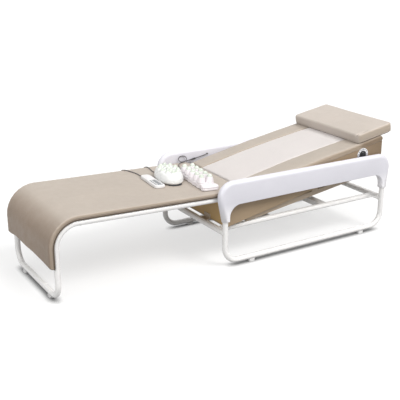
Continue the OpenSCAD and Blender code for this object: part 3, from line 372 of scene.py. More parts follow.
def leather(name, c, rough=0.5, foot_facing_painted_shade=None, side_facing_painted_shade=None, head_painted_shadow=None):
    """Leatherette, worn along its edges, with painted shade in its creases. The optional tints are painted shade:
    on faces towards the foot and on low places, on faces to either side, and, through its ramp's stops, along X
    under the pillow."""
    s = Shader(name, rough, Sheen_Weight=0.12, Sheen_Roughness=0.4, IOR=1.46)
    base = s.varied(c, s.noise(5.5, 4, 0.55), 0.95, 1.035)
    fine = s.noise(140, 2, 0.6)
    # Painted shade: darker on faces towards the foot, and on low places
    if foot_facing_painted_shade:
        away = s.math("MULTIPLY", s.part(s.facing, "X"), -1.0)
        base = s.tinted(base, s.ramp(away, [(0.35, 0.0), (0.95, 1.0)]), foot_facing_painted_shade)
        base = s.tinted(base, s.ramp(s.part(s.coord, "Z"), [(0.19, 0.55), (0.33, 0.0)]), (0.82, 0.78, 0.74))
    # Painted shade: darker on faces to either side
    if side_facing_painted_shade:
        across = s.math("ABSOLUTE", s.part(s.facing, "Y"))
        base = s.tinted(base, s.ramp(across, [(0.55, 0.0), (0.92, 1.0)]), side_facing_painted_shade)
    # Painted shadow along X, under the pillow and towards the head
    if head_painted_shadow:
        tint, stops = head_painted_shadow
        base = s.tinted(base, s.ramp(s.part(s.coord, "X"), stops), tint)
    base = s.mix(s.math("MULTIPLY", fine, 0.16), base, tone(c, 0.80))
    worn = s.edges([(0.505, 0.0), (0.56, 0.22)])
    base = s.mix(worn, base, tone(c, 1.13))
    # Painted shade in creases and hollows
    crease_shade = s.edges([(0.44, 0.65), (0.495, 0.0)])
    s.colour(s.mix(crease_shade, base, tone(c, 0.62)))
    s.roughness(s.noise(38, 3), [(0.3, rough - 0.06), (0.72, rough + 0.08)])
    s.bump(s.texture("ShaderNodeTexVoronoi", 620).outputs["Distance"], 0.00022, 0.55)
    s.bump(s.noise(70, 4, 0.6), 0.0006, 0.35)
    return s.mat


def woven(name, c, pitch=0.0021):
    """Plain-woven cloth with a thread pitch in metres."""
    s = Shader(name, 0.8, Sheen_Weight=0.3, Sheen_Roughness=0.5, IOR=1.45)
    both = s.math("MULTIPLY", s.bands((1 / pitch, 0, 0), "X"), s.bands((0, 1 / pitch, 0), "Y"))
    base = s.varied(c, s.noise(4.0, 3, 0.5), 0.965, 1.02)
    base = s.mix(s.math("MULTIPLY", both, 0.22), base, tone(c, 0.86))
    # Painted shade in creases and hollows
    crease_shade = s.edges([(0.45, 0.6), (0.495, 0.0)])
    s.colour(s.mix(crease_shade, base, tone(c, 0.7)))
    s.roughness(s.noise(60, 2), [(0.3, 0.72), (0.7, 0.88)])
    s.bump(both, 0.00025, 0.5)
    s.bump(s.noise(26, 3), 0.0008, 0.3)
    return s.mat


def painted(name, c, rough, coat):
    s = Shader(name, rough, Coat_Weight=coat, Coat_Roughness=0.12, IOR=1.5)
    base = s.varied(c, s.noise(9, 3), 0.975, 1.01)
    worn = s.edges([(0.54, 0.0), (0.66, 0.35)])
    s.colour(s.mix(worn, base, tone(c, 1.06)))
    s.roughness(s.noise(45, 3), [(0.3, rough - 0.05), (0.7, rough + 0.09)])
    s.bump(s.noise(420, 2), 0.00012, 0.35)
    return s.mat


def moulded(name, c, rough, grain, low=None):
    """Moulded plastic with a grain per metre. low, if given, is painted light: a paler colour on the armrests'
    lowest part.
    """
    s = Shader(name, rough, IOR=1.48)
    base = s.varied(c, s.noise(7, 3), 0.975, 1.015)
    if low:
        # Painted light: the armrests' lowest part is made paler
        base = s.mix(s.ramp(s.part(s.coord, "Z"), [(0.25, 1.0), (0.332, 0.0)]), base, low)
    dust = s.ramp(s.noise(180, 2), [(0.45, 0.0), (0.75, 0.12)])
    s.colour(s.mix(dust, base, tone(c, 0.9)))
    s.roughness(s.noise(30, 3), [(0.3, rough - 0.05), (0.7, rough + 0.07)])
    s.bump(s.noise(grain, 2), 0.00010, 0.4)
    return s.mat


def metal(name, c, rough=0.32, stretch=(40, 900, 900)):
    s = Shader(name, rough, Metallic=1.0)
    s.colour(s.varied(c, s.noise(12, 3), 0.9, 1.05))
    brushed = s.noise(stretch, 2)
    s.roughness(brushed, [(0.3, max(0.04, rough - 0.1)), (0.7, rough + 0.12)])
    s.bump(brushed, 0.00008, 0.4)
    return s.mat


def stone(name, c):
    s = Shader(name, 0.2, Coat_Weight=0.35, Coat_Roughness=0.1, IOR=1.55)
    base = s.ramp(s.noise(42, 6, 0.6, 1.2), [(0.3, tone(c, 0.9)), (0.5, c), (0.74, (0.70, 0.755, 0.67))])
    s.colour(s.mix(s.ramp(s.noise(15, 3), [(0.4, 0.0), (0.8, 0.45)]), base, (0.70, 0.74, 0.66)))
    s.roughness(s.noise(80, 2), [(0.3, 0.16), (0.7, 0.28)])
    s.bump(s.noise(260, 3), 0.00012, 0.3)
    return s.mat


def rubber(name, c, rough=0.62):
    s = Shader(name, rough, IOR=1.5)
    s.colour(s.varied(c, s.noise(60, 4), 0.8, 1.3))
    s.roughness(s.noise(120, 2), [(0.3, rough - 0.08), (0.7, rough + 0.1)])
    s.bump(s.noise(700, 2), 0.0001, 0.4)
    return s.mat


def plywood(name, c):
    s = Shader(name, 0.62, IOR=1.45)
    grain = s.noise((6, 90, 90), 5, 0.6, 0.6)
    s.colour(s.ramp(grain, [(0.25, tone(c, 0.7)), (0.5, c), (0.75, tone(c, 1.14))]))
    s.bump(grain, 0.0003, 0.5)
    return s.mat


M = {
    "leather": leather("leatherette_beige", (0.420, 0.367, 0.314), side_facing_painted_shade=(0.80, 0.72, 0.62),
                       head_painted_shadow=((0.60, 0.53, 0.44), [(0.765, 0.0), (0.80, 1.0)])),
    "mat_leather": leather("leatherette_mat", (0.432, 0.377, 0.324), foot_facing_painted_shade=(0.53, 0.435, 0.35),
                           side_facing_painted_shade=(0.76, 0.70, 0.63)),
    # A lighter copy of the leatherette: painted light on the pillow
    "pillow_leather_lit": leather("leatherette_pillow_lit", (0.505, 0.449, 0.400), side_facing_painted_shade=(0.83, 0.78, 0.70)),
    # A darker copy of the leatherette: painted shade on the body's sides
    "side_leather": leather(
        "leatherette_side_shaded", (0.322, 0.238, 0.152), 0.55,
        head_painted_shadow=((0.50, 0.46, 0.43), [(0.50, 0.0), (0.78, 0.50), (0.86, 0.85), (0.915, 1.0)])),
    # A darker, warmer copy of the leatherette: painted shade on the foot panel under the leg mat
    "foot_leather": leather("leatherette_foot_shaded", (0.465, 0.312, 0.135), 0.58),
    "cloth": woven("cloth_pale", (0.625, 0.587, 0.572)),
    # Its last colour is painted light on the armrests' lowest part
    "armrest": moulded("armrest_skin", (0.70, 0.695, 0.752), 0.42, 1100, (0.93, 0.92, 0.95)),
    "tube": painted("powder_coat_white", (0.83, 0.822, 0.815), 0.22, 0.5),
    "beam_paint": painted("paint_tan", (0.40, 0.325, 0.245), 0.5, 0.0),
    "white_plastic": moulded("plastic_white", (0.76, 0.755, 0.755), 0.3, 700),
    "pink_plastic": moulded("plastic_pearl", (0.78, 0.742, 0.762), 0.28, 700),
    "cool_plastic": moulded("plastic_cool", (0.765, 0.775, 0.765), 0.28, 700),
    "grey_plastic": moulded("plastic_grey", (0.25, 0.26, 0.27), 0.5, 900),
    "steel": metal("steel_brushed", (0.62, 0.63, 0.65)),
    "chrome": metal("chrome_polished", (0.82, 0.82, 0.84), 0.12, (300, 300, 300)),
    "brass": metal("brass_tube", (0.78, 0.6, 0.3), 0.25),
    "jade": stone("jade_pale", (0.60, 0.665, 0.58)),
    "rubber": rubber("rubber_black", (0.035, 0.035, 0.038)),
    "cord": rubber("cord_grey", (0.085, 0.08, 0.085), 0.5),
    "black": moulded("plastic_black", (0.014, 0.014, 0.016), 0.5, 800),
    "white_mark": moulded("mark_white", (0.8, 0.8, 0.8), 0.4, 800),
    "plywood": plywood("plywood_birch", (0.55, 0.40, 0.25)),
    "board": moulded("circuit_board", (0.03, 0.16, 0.08), 0.35, 400),
    "motor": painted("motor_paint", (0.08, 0.08, 0.09), 0.4, 0.1),
    # Painted shade: the dark line in the pillow's stitched groove
    "seam_shade": leather("leatherette_seam_shade", (0.22, 0.175, 0.13), 0.6),
    # Dark backing under the mat, with painted shadow along its lower edge; under the pillow, a painted shadow
    "backing_and_shadow": leather("leatherette_backing_and_shadow", (0.085, 0.062, 0.042), 0.6),
}

NODE_MATERIALS = {
    "tube": ["leg_frame", "leg_cross_tubes", "sled_left", "sled_right", "lower_side_rails", "end_cross_tubes",
             "mid_cross_tubes", "frame_gussets", "pan_posts"],
    "white_plastic": ["leg_feet", "sled_feet", "socket_box"],
    "plywood": ["leg_deck", "top_deck"],
    "steel": ["leg_hinge_plates", "hinge_ears", "hinge_pins", "bulkheads", "guide_rails", "carriage_plate",
              "power_supply", "drive_pulley", "idler_pulley"],
    "side_leather": ["side_shell_left", "side_shell_right", "head_panel", "base_pan"],
    "foot_leather": ["foot_panel"],
    "beam_paint": ["support_beams", "body_spacers"],
    "jade": ["front_jade_rollers", "rear_jade_rollers"],
    "rubber": ["rail_bumpers", "front_wheelset", "rear_wheelset", "drive_belt"],
    "motor": ["gear_motor"],
    "board": ["control_board"],
    "brass": ["heater_tubes"],
    "chrome": ["dial_ring"],
    "black": ["dial_knob"],
    "grey_plastic": ["handset_key_up", "handset_key_mode", "handset_key_down"],
}
for key, names in NODE_MATERIALS.items():
    for name in names:
        data = NODES[name].data
        data.materials.clear()
        data.materials.append(M[key])


# Cords

def make_cord(name, route, body):
    return piece(name + "_skin", sweep_tube(smooth_route(route), CORD_R), body, "cord", [name])


SLEEVE_R, SLEEVE_LENGTH, SLEEVE_WALL = 0.0042, 0.022, 0.0004


def relief(route):
    """A tapered sleeve where a cord leaves its case."""
    pts = smooth_route(route)
    run, out = 0.0, [pts[0]]
    for a, b in zip(pts, pts[1:]):
        run += np.linalg.norm(b - a)
        if run > SLEEVE_LENGTH:
            break
        out.append(b)
    n = len(out)
    return sweep_tube(out, [lerp(SLEEVE_R, CORD_R + SLEEVE_WALL, k / (n - 1)) for k in range(n)], 14)


def sleeve(name, *routes):
    return piece(name, merge([relief(r) for r in routes]), "leg_section", "rubber")


def turned(name, start, end, stations):
    """A turned form from one point to another: each station is a share of the way and a radius."""
    a, b = np.array(start) / 1000, np.array(end) / 1000
    tube = sweep_tube([a + (b - a) * share for share, _ in stations], [r for _, r in stations], 22)
    return piece(name, tube, "base", "rubber")


handset_cord = make_cord("handset_cord", HANDSET_ROUTE, "leg_section")
disc_cord = make_cord("disc_cord", DISC_ROUTE, "leg_section")
# The long projector's cord crosses the fold joint: it is baked in place and rides on no body
bar_cord = finish_mesh("bar_cord_skin", *sweep_tube(smooth_route(BAR_ROUTE), CORD_R))
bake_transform(bar_cord)
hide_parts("bar_cord")
bar_cord.data.materials.append(M["cord"])
lead_cord = make_cord("armrest_lead", LEAD_ROUTE, "base")
bar_plug = turned("bar_cord_plug", (47.5, 270.35, 386.3), (62.2, 270.6, 388.1), [
    (0, 0.0026), (0.12, 0.0033), (0.5, 0.0037), (0.52, 0.0034), (0.57, 0.0034), (0.59, 0.0037), (0.96, 0.0037),
    (1, 0.0033)])
coupler = turned("armrest_lead_coupler", (62.5, 270.6, 388.16), (81.5, 270.65, 390.83), [
    (0, 0.0040), (0.04, 0.0045), (0.30, 0.0045), (0.32, 0.0041), (0.36, 0.0041), (0.38, 0.0045), (0.76, 0.0045),
    (0.84, 0.0038), (1, 0.0027)])
jack = turned("armrest_lead_jack", (160, 275.0, 403), (160, 279.7, 403), [
    (0, 0.0034), (0.25, 0.0045), (0.8, 0.0045), (1, 0.0040)])
handset_sleeves = sleeve("handset_cord_sleeves", HANDSET_ROUTE, HANDSET_ROUTE[::-1])
disc_sleeves = sleeve("disc_cord_sleeves", DISC_ROUTE, DISC_ROUTE[::-1])
sleeve("bar_cord_sleeve", BAR_ROUTE)


# Leg mat: its tubes, rise and foot bend are those of part.scad

HINGE_X, SEAM_Z, RISE = 0.040, 0.373, math.radians(2.05)
TUBE_R, RAIL_Z = 0.014, 0.339
BEND_R, LEG_X = 0.105, -0.954
MAT_T, MAT_HALF, MAT_DROP_Z = 0.024, 0.277, 0.188
MAT_EDGE_R, MAT_END_R, MAT_DRAW_IN = 0.0095, 0.011, 0.0022
MAT_START_X, MAT_HINGE_HALF, MAT_HINGE_RUN = HINGE_X - 0.006, 0.2445, 0.0125
ARC_X = LEG_X + BEND_R
ARC_START_X = ARC_X + BEND_R * math.sin(RISE)
MAT_LIFT = TUBE_R + 0.0005


def rail_line(x):
    return RAIL_Z + (HINGE_X - x) * math.tan(RISE)


ARC_Z = rail_line(ARC_START_X) - BEND_R * math.cos(RISE)
FLAT_RUN = (MAT_START_X - ARC_START_X) / math.cos(RISE)
ARC_RUN = (BEND_R + MAT_LIFT) * (QUARTER + RISE)
MAT_RUN = FLAT_RUN + ARC_RUN + ARC_Z - MAT_DROP_Z
SAG, SAG_FROM = 0.010, FLAT_RUN + ARC_RUN * 0.9


def mat_frame(s):
    """The underside's place in X and Z at a distance s from the hinge end, and the way up from it."""
    if s <= FLAT_RUN:
        x = MAT_START_X - s * math.cos(RISE)
        return x, rail_line(x) + MAT_LIFT, math.sin(RISE), math.cos(RISE)
    a = min(1.0, (s - FLAT_RUN) / ARC_RUN) * (QUARTER + RISE) - RISE
    drop = max(0.0, s - FLAT_RUN - ARC_RUN)
    r = BEND_R + MAT_LIFT
    return ARC_X - r * math.sin(a), ARC_Z + r * math.cos(a) - drop, -math.sin(a), math.cos(a)


def mat_half(s, widest=MAT_HALF):
    """The mat's half width: its sides draw in a little between its ends."""
    return widest - MAT_DRAW_IN * math.sin(math.pi * s / MAT_RUN)


def mat_section(half):
    """Sideways places and heights round the mat: up one side, over the top, down the other and back below."""
    r = MAT_EDGE_R
    side = [(-half + 0.0012 * math.cos(math.pi * k / 10), lerp(0.0, MAT_T - r, k / 10)) for k in range(10)]
    pts = side + arc(-half + r, MAT_T - r, r, math.pi, -QUARTER, 8)
    pts += line((-half + r, MAT_T), (half - r, MAT_T), 64)[1:] + arc(half - r, MAT_T - r, r, QUARTER, -QUARTER, 8)
    return pts + [(-y, h) for y, h in side[::-1]] + line((half, 0.0), (-half, 0.0), 24)[1:]


def leg_mat():
    """Foam under leatherette: crowned, puckered along its stitched line, and sagging at the foot end."""
    ends = [0.0, 0.0008, 0.002, 0.004, 0.0065, 0.009]
    mids = list(np.linspace(0.012, MAT_RUN - 0.012, int(MAT_RUN / 0.0055)))
    rings = []
    for s in ends + mids + [MAT_RUN - e for e in ends[::-1]]:
        full = max(rounded(min(s, MAT_RUN - s), MAT_END_R), 0.10)
        half = mat_half(s, MAT_HINGE_HALF if s < MAT_HINGE_RUN else MAT_HALF) - (1 - full) * 0.003
        sags = smoothstep(SAG_FROM, MAT_RUN, s)
        ring = []
        for y, h in mat_section(half):
            top, rim = h / MAT_T, half - abs(y)
            dip = sags * (SAG * smoothstep(0.16, MAT_HALF, abs(y)) + 0.0015 * math.sin(y * 31 + 0.6))
            x, z, ux, uz = mat_frame(s + dip)
            up = (0.42 + (top - 0.42) * full) * MAT_T
            if top > 0.5:
                crown = 0.0012 * (1 - (y / half) ** 2)
                puff = 0.0011 * n3(x, y, z, 7.0, 3.1) + 0.0006 * n3(x, y, z, 19.0, 8.2)
                edge = math.exp(-rim / 0.02)
                pucker = 0.0005 * edge * math.sin(s * 260 + 2.5 * n3(s, y, 0, 9.0, 1.3))
                up += (crown + puff * (1 - edge) + pucker) * full
                up -= 0.0011 * groove(rim, 0.0135, 0.0032) * full
            side = 0.0
            if rim < 0.004 and 0.05 < top < 0.75:
                side = -0.0016 * groove(top, 0.34, 0.16) + 0.0005 * n3(s * 4, top, y, 6.0, 5.0)
            ring.append((x + ux * up, y + (side if y > 0 else -side), z + uz * up))
        rings.append(ring)
    return skin(rings)


def mat_backing_and_shadow():
    """The dark board cover under the mat: it shows as a thin line along the lower edge of both sides, and stands in
    for the shadow gap there as well.
    """
    rings = []
    for s in np.linspace(0.014, MAT_RUN - 0.0006, 170):
        half = mat_half(s) + 0.0007
        x, z, ux, uz = mat_frame(s + SAG * smoothstep(SAG_FROM, MAT_RUN, s))
        section = [(-half + 0.001, -0.0003), (-half, 0.0006), (-half, 0.0050), (-half + 0.001, 0.0058)]
        section += [(-y, h) for y, h in section[::-1]]
        rings.append([(x + ux * h, y, z + uz * h) for y, h in section])
    return skin(rings)


piece("leg_mat_backing_shadow", mat_backing_and_shadow(), "leg_section", "backing_and_shadow")
piece("leg_mat_skin", leg_mat(), "leg_section", "mat_leather", ["leg_mat"])


# Body upholstery, in the body's own tilted frame: u along the slope, y across, w up

SLOPE = math.radians(9.7)
BODY_LEN, PAD_T, BODY_HALF = 0.903, 0.030, 0.275
PAD_START, PAD_STEP, PAD_END_R = 0.0061, 0.007, 0.012
PAD_RUN, SIDE_W, FOOT_W = BODY_LEN - PAD_START, -PAD_T * 0.98, -PAD_T * 0.985
# Half widths of the pale centre cloth on its far and near side, at places along the slope
STRIP_EDGES_U = [0.0, 0.135, 0.25, 0.385, 0.45, 0.56, 0.65, 0.72, 0.91]
STRIP_FAR = [0.157, 0.159, 0.160, 0.160, 0.160, 0.159, 0.158, 0.157, 0.156]
STRIP_NEAR = [0.155, 0.153, 0.151, 0.150, 0.150, 0.151, 0.152, 0.153, 0.154]


def tilt(u, y, w):
    c, s = math.cos(SLOPE), math.sin(SLOPE)
    return (HINGE_X + u * c - w * s, y, SEAM_Z + u * s + w * c)


def rise_along(u):
    """The upholstery stands a little proud in the middle of its length."""
    return 0.0065 * math.sin(math.pi * min(1.0, max(0.0, u / 0.76))) ** 1.2


def pad_stations():
    """Places along a pad, and how full it is there: its ends are rounded."""
    ends = [PAD_END_R * (1 - math.cos(QUARTER * k / 6)) for k in range(6)]
    mids = list(np.linspace(PAD_END_R, PAD_RUN - PAD_END_R, int(PAD_RUN / PAD_STEP)))
    for d in ends + mids + [PAD_RUN - e for e in ends[::-1]]:
        yield PAD_START + d, rounded(min(d, PAD_RUN - d), PAD_END_R)


def thinned(w, full):
    """A height in a pad, drawn towards the pad's middle where it isn't full."""
    middle = -PAD_T * 0.45
    return middle + (w - middle) * max(full, 0.06)


def strip_edge(u, far):
    return float(np.interp(u, STRIP_EDGES_U, STRIP_FAR if far else STRIP_NEAR))


def bolster(far):
    """One side pad: from the seam beside the pale panel, over the rounded outer edge and down the side."""
    sign, outer = (1 if far else -1), BODY_HALF
    rings = []
    for u, full in pad_stations():
        inner = strip_edge(u, far) + 0.0004
        r = lerp(0.021, 0.012, min(1.0, u / 0.6))
        prof = [(inner, SIDE_W), (inner, -PAD_T * 0.5), (inner, -0.011), (inner + 0.0006, -0.0065),
                (inner + 0.0022, -0.003), (inner + 0.005, -0.0012)]
        prof += line((inner + 0.005, 0.0), (outer - r, 0.0), 22)[1:]
        prof += arc(outer - r, -r, r, QUARTER, -QUARTER, 8)
        prof += line((outer, -r), (outer, SIDE_W), 5)[1:] + [(outer, SIDE_W)]
        prof += line((outer, FOOT_W), (inner, FOOT_W), 10)[1:]
        ring = []
        for y, w in prof:
            top = smoothstep(-0.016, -0.002, w)
            mid = (y - inner) / (outer - inner)
            lift = rise_along(u) * (1 - 0.35 * mid ** 3)
            puff = 0.0022 * math.sin(math.pi * min(1, max(0, mid))) ** 0.6
            puff += 0.0012 * n3(u, y * sign, 0.3, 9.0, 4.4) + 0.0005 * n3(u, y * sign, 0.1, 24.0, 2.2)
            pucker = 0.0006 * math.exp(-(y - inner) / 0.012) * math.sin(u * 240 + 3 * n3(u, 0, 0, 8, 2))
            droop = 0.006 * (1 - u / BODY_LEN) * max(0.0, mid) ** 4
            shaped = w + top * (lift + puff + pucker - droop) - top * 0.0009 * groove(outer - r - y, 0.002, 0.003)
            if y >= outer - 0.0005 and w < -r * 0.8:
                shaped = w
            if y >= outer - 0.001:
                y += 0.0004 * n3(u, w * 4, 0, 20, 1)
            ring.append(tilt(u, sign * y, thinned(shaped, full)))
        rings.append(ring)
    return skin(rings)


for far, node, name in ((False, "body_pad_left", "bolster_left"), (True, "body_pad_right", "bolster_right")):
    piece(name, bolster(far), "base", "leather", [node])


def centre_cloth():
    """The pale centre panel, tucked in along both seams."""
    tuck = [(0.0, SIDE_W), (0.0, -0.012), (0.0006, -0.0070), (0.002, -0.0042), (0.0045, -0.0026)]
    rings = []
    for u, full in pad_stations():
        a, b = -strip_edge(u, False), strip_edge(u, True)
        prof = [(a + d, w) for d, w in tuck] + line((a + 0.0045, -0.0016), (b - 0.0045, -0.0016), 48)[1:]
        prof += [(b - d, w) for d, w in tuck[::-1]] + line((b, FOOT_W), (a, FOOT_W), 16)[1:]
        ring = []
        for y, w in prof:
            top = smoothstep(-0.014, -0.003, w)
            mid = (y - a) / (b - a)
            lift = rise_along(u) + 0.0018 * math.sin(math.pi * min(1, max(0, mid))) ** 0.5
            wavy = 0.0010 * n3(u, y, 0, 6.0, 7.7) + 0.0005 * n3(u * 0.5, y, 0, 30.0, 3.3)
            pucker = 0.0007 * math.exp(-min(y - a, b - y) / 0.014) * math.sin(u * 260 + 4 * n3(u, y, 0, 7, 9))
            ring.append(tilt(u, y, thinned(w + top * (lift + wavy + pucker), full)))
        rings.append(ring)
    return skin(rings)


piece("centre_cloth", centre_cloth(), "base", "cloth", ["center_panel"])


# Pillow

PILLOW = dict(u0=0.7335, u1=0.9765, half=0.2735, t=0.0495, seat=0.0016, r=0.0105, foot_r=0.0075, plan_r=0.020)
PILLOW_TOP = PILLOW["seat"] + PILLOW["t"]
SEAM_IN, SEAM_RUN, SEAM_STEPS = 0.0150, 0.088, 24


def pillow_ring(e, side):
    """The pillow's section at a distance e from its end: sideways place, both ends along the slope, and points."""
    P = PILLOW
    inset, corner = P["r"] * (1 - rounded(e, P["r"])), P["plan_r"] * (1 - rounded(e, P["plan_r"]))
    y = side * (P["half"] - e)
    pull = 0.0030 * math.cos(QUARTER * y / P["half"])
    lo, hi = P["u0"] + pull + max(inset, corner), P["u1"] - pull - max(inset, corner)
    low, top = P["seat"] + inset * 0.7, PILLOW_TOP - inset
    r, foot_r = max(0.0025, P["r"] - inset), max(0.0022, P["foot_r"] - inset * 0.7)
    pts = line((lo, low + foot_r), (lo, top - r), 14) + arc(lo + r, top - r, r, math.pi, -QUARTER, 7)[:-1]
    pts += line((lo + r, top), (hi - r, top), 40) + arc(hi - r, top - r, r, QUARTER, -QUARTER, 7)[:-1]
    pts += line((hi, top - r), (hi, low + foot_r), 14) + arc(hi - foot_r, low + foot_r, foot_r, 0, -QUARTER, 5)[:-1]
    pts += line((hi - foot_r, low), (lo + foot_r, low), 24)
    return y, lo, hi, pts + arc(lo + foot_r, low + foot_r, foot_r, -QUARTER, -QUARTER, 5)[:-1]


def pillow_point(u, y, w, lo, hi, end=0.0):
    """Foam shape of one point: crown, soft waves, the stitched lines near the end and low on the sides."""
    P = PILLOW
    rise = smoothstep(P["seat"] + P["t"] / 2, PILLOW_TOP - 0.004, w)
    across = math.cos(QUARTER * min(1.0, abs(y) / P["half"])) ** 0.5
    along = math.sin(math.pi * min(1.0, max(0.0, (u - lo) / (hi - lo)))) ** 0.7
    soft = 0.0012 * n3(u, y, 0.5, 9.0, 6.0) + 0.0005 * n3(u, y, 0.2, 27.0, 1.0)
    w_new = w + rise * (0.0026 * along * across + soft)
    stitch = groove(y, -P["half"] + SEAM_IN, 0.0085) * smoothstep(0.115, 0.035, u - lo)
    w_new -= rise * 0.0060 * stitch
    height = (w - P["seat"]) / P["t"]
    belly = 0.0013 * math.sin(math.pi * min(1.0, max(0.0, height))) * (1 + n3(u * 2, y * 2, 0.7, 9.0, 2.0))
    out = belly - 0.0016 * groove(height, 0.19, 0.075)
    du = 0.0
    if w < PILLOW_TOP - 0.003:
        du = (0.0030 * stitch - out) * smoothstep(0.006, 0.0, u - lo) + out * smoothstep(0.006, 0.0, hi - u)
    return u + du * (1 - abs(end)), y + end * out, w_new


def pillow():
    """Foam under leatherette, crowned, with full ends and stitched lines by its near end and low on its sides."""
    near = [0.0, 0.0003, 0.0009, 0.0018, 0.0030, 0.0045, 0.0062, 0.0082, 0.0105, 0.0125, 0.0145, 0.0170, 0.0200]
    span = list(np.linspace(0.024, PILLOW["half"], 40))
    rings = []
    for side, places in ((-1, near + span), (1, (near + span[:-1])[::-1])):
        for e in places:
            y, lo, hi, pts = pillow_ring(e, side)
            share = max(0.0, 1 - e / PILLOW["r"]) ** 2
            rings.append([pillow_point(u, y, w, lo, hi, side * share) for u, w in pts])
    for side in (-1, 1):
        y, lo, hi, pts = pillow_ring(0.0, side)
        cu, cw = (lo + hi) / 2, PILLOW["seat"] + PILLOW["t"] / 2
        face = []
        for k in (0.995, 0.97, 0.92, 0.82, 0.6, 0.3):
            along = 1 - (1 - k) * 0.12 / 0.7 if k > 0.5 else k
            face.append([pillow_point(cu + (u - cu) * along, y, cw + (w - cw) * k, lo, hi, side) for u, w in pts])
        rings = face[::-1] + rings if side < 0 else rings + face
    return skin([[tilt(*p) for p in ring] for ring in rings])


piece("pillow_skin", pillow(), "base", "pillow_leather_lit", ["pillow"])
# A dark tube at the bottom of the stitched groove: painted shade in the groove
seam = []
y, lo, hi, _ = pillow_ring(SEAM_IN, -1)
for k in range(SEAM_STEPS + 1):
    u = lo + 0.0035 + SEAM_RUN * k / SEAM_STEPS
    w = pillow_point(u, y, PILLOW_TOP, lo, hi)[2]
    seam.append(tilt(u, y, w - (0.0004 if k else 0.003)))
seam_radii = [0.0016 * (1 - (k / SEAM_STEPS) ** 3) + 0.0002 for k in range(SEAM_STEPS + 1)]
piece("pillow_seam", sweep_tube(seam, seam_radii, 10), "base", "seam_shade")
# A dark board under the pillow, a painted shadow: it shows as a dark line in the gap below the pillow
board = rounded_plan(PILLOW["u1"] - PILLOW["u0"] - 0.016, 2 * PILLOW["half"] - 0.010, 0.018, 6)
shadow_board_u = (PILLOW["u0"] + PILLOW["u1"]) / 2
shadow_board_rings = [[tilt(shadow_board_u + u, y, w) for u, y in board] for w in (-0.0001, 0.0004, 0.0030)]
piece("pillow_shadow_board", skin(shadow_board_rings), "base", "backing_and_shadow")


# Armrests

ARM = dict(foot_x=-0.097, head_x=0.929, foot_out=0.043, head_out=0.032, top=0.441, fall=0.009, low=0.318, end=0.238,
           r=0.080, hollow=0.058, half=0.020, leg=0.019, y=0.300)


def tangent(c, r, p, side):
    """The angle at which a line from p touches the circle round c."""
    v = p - c
    return math.atan2(v[1], v[0]) - side * math.acos(r / np.linalg.norm(v))


def armrest(sign, steps=22):
    """Rings through the thickness: each goes over the outside from foot to head, and back under the hollow."""
    A = ARM
    foot_c = np.array([A["foot_x"] - A["foot_out"] + A["r"], A["top"] - A["r"]])
    head_c = np.array([A["head_x"] + A["head_out"] - A["r"], A["top"] - A["fall"] - A["r"]])
    foot_e = np.array([A["foot_x"] - A["leg"], A["end"]])
    head_e = np.array([A["head_x"] + A["leg"], A["end"]])
    foot_t = 2 * math.pi + tangent(foot_c, A["r"], foot_e, 1)
    head_t = tangent(head_c, A["r"], head_e, -1)
    top_t = QUARTER + math.atan2(head_c[1] - foot_c[1], head_c[0] - foot_c[0])
    x0, x1, hollow_z = A["foot_x"] + A["leg"], A["head_x"] - A["leg"], A["low"] - A["hollow"]
    rings = []
    for a in np.linspace(-QUARTER, QUARTER, 25):
        inset = A["half"] * (1 - math.cos(a))
        soft = inset * 0.3
        end_z, hollow = A["end"] + soft / 2, A["hollow"] + soft
        over_foot = arc(*foot_c, A["r"] - inset, foot_t, top_t - foot_t, steps)
        over_head = arc(*head_c, A["r"] - inset, top_t, head_t - top_t, steps)
        under_head = arc(x1 - A["hollow"], hollow_z, hollow, 0, QUARTER, steps)
        under_foot = arc(x0 + A["hollow"], hollow_z, hollow, QUARTER, QUARTER, steps)
        outline = [(foot_e[0] + inset, end_z)] + over_foot + line(over_foot[-1], over_head[0], 20)[1:] + over_head
        outline += [(head_e[0] - inset, end_z), (x1 + soft, end_z)] + under_head
        outline += line(under_head[-1], under_foot[0], 20)[1:] + under_foot + [(x0 - soft, end_z)]
        y = sign * A["y"] + A["half"] * math.sin(a)
        rings.append([(x, y, z) for x, z in outline])
    return skin(rings, "strip")


for sign, node in ((-1, "armrest_cover_left"), (1, "armrest_cover_right")):
    piece(node + "_skin", armrest(sign), "base", "armrest", [node])


# Handset and projectors: each lies on the mat at x, y, turned by an angle in degrees

HANDSET_AT, HANDSET_SIZE = (-0.331, 0.004, 86), (0.200, 0.056)
DISC_AT, DISC_HALF = (-0.230, 0.020, -12), (0.118 * 0.576, 0.118)
BAR_AT, BAR_SIZE = (-0.122, -0.092, 84), (0.290, 0.096)
LONG_SIDE = 0.03  # a longer edge of an outline is split, so that it can be drawn in


def mat_top_z(x):
    return rail_line(x) + MAT_LIFT + MAT_T * 1.05 + 0.0003


def placed(geometry, x, y, turn):
    """A form in its own frame, moved to where it lies on the mat, which rises towards the hinge."""
    t, z = math.radians(turn), mat_top_z(x)
    out = []
    for p in geometry[0]:
        a = p[0] * math.cos(t) - p[1] * math.sin(t)
        b = p[0] * math.sin(t) + p[1] * math.cos(t)
        out.append((x + a * math.cos(RISE) + p[2] * math.sin(RISE), y + b,
                    z - a * math.sin(RISE) + p[2] * math.cos(RISE)))
    return out, geometry[1]


def case(size, corner, taper, n, waist, levels):
    """A case from levels of inset and height. waist gives the share by which its long sides are drawn in."""
    out = []
    for inset, z in levels:
        plan = rounded_plan(size[0] - 2 * inset, size[1] - 2 * inset, corner - inset * taper, n)
        drawn_in = []
        for a, b in zip(plan, plan[1:] + plan[:1]):
            long_side = math.hypot(b[0] - a[0], b[1] - a[1]) > LONG_SIDE
            drawn_in += [(x, y * (1 - waist(x))) for x, y in line(a, b, 40 if long_side else 1)]
        out.append((drawn_in, z))
    return stacked(out)


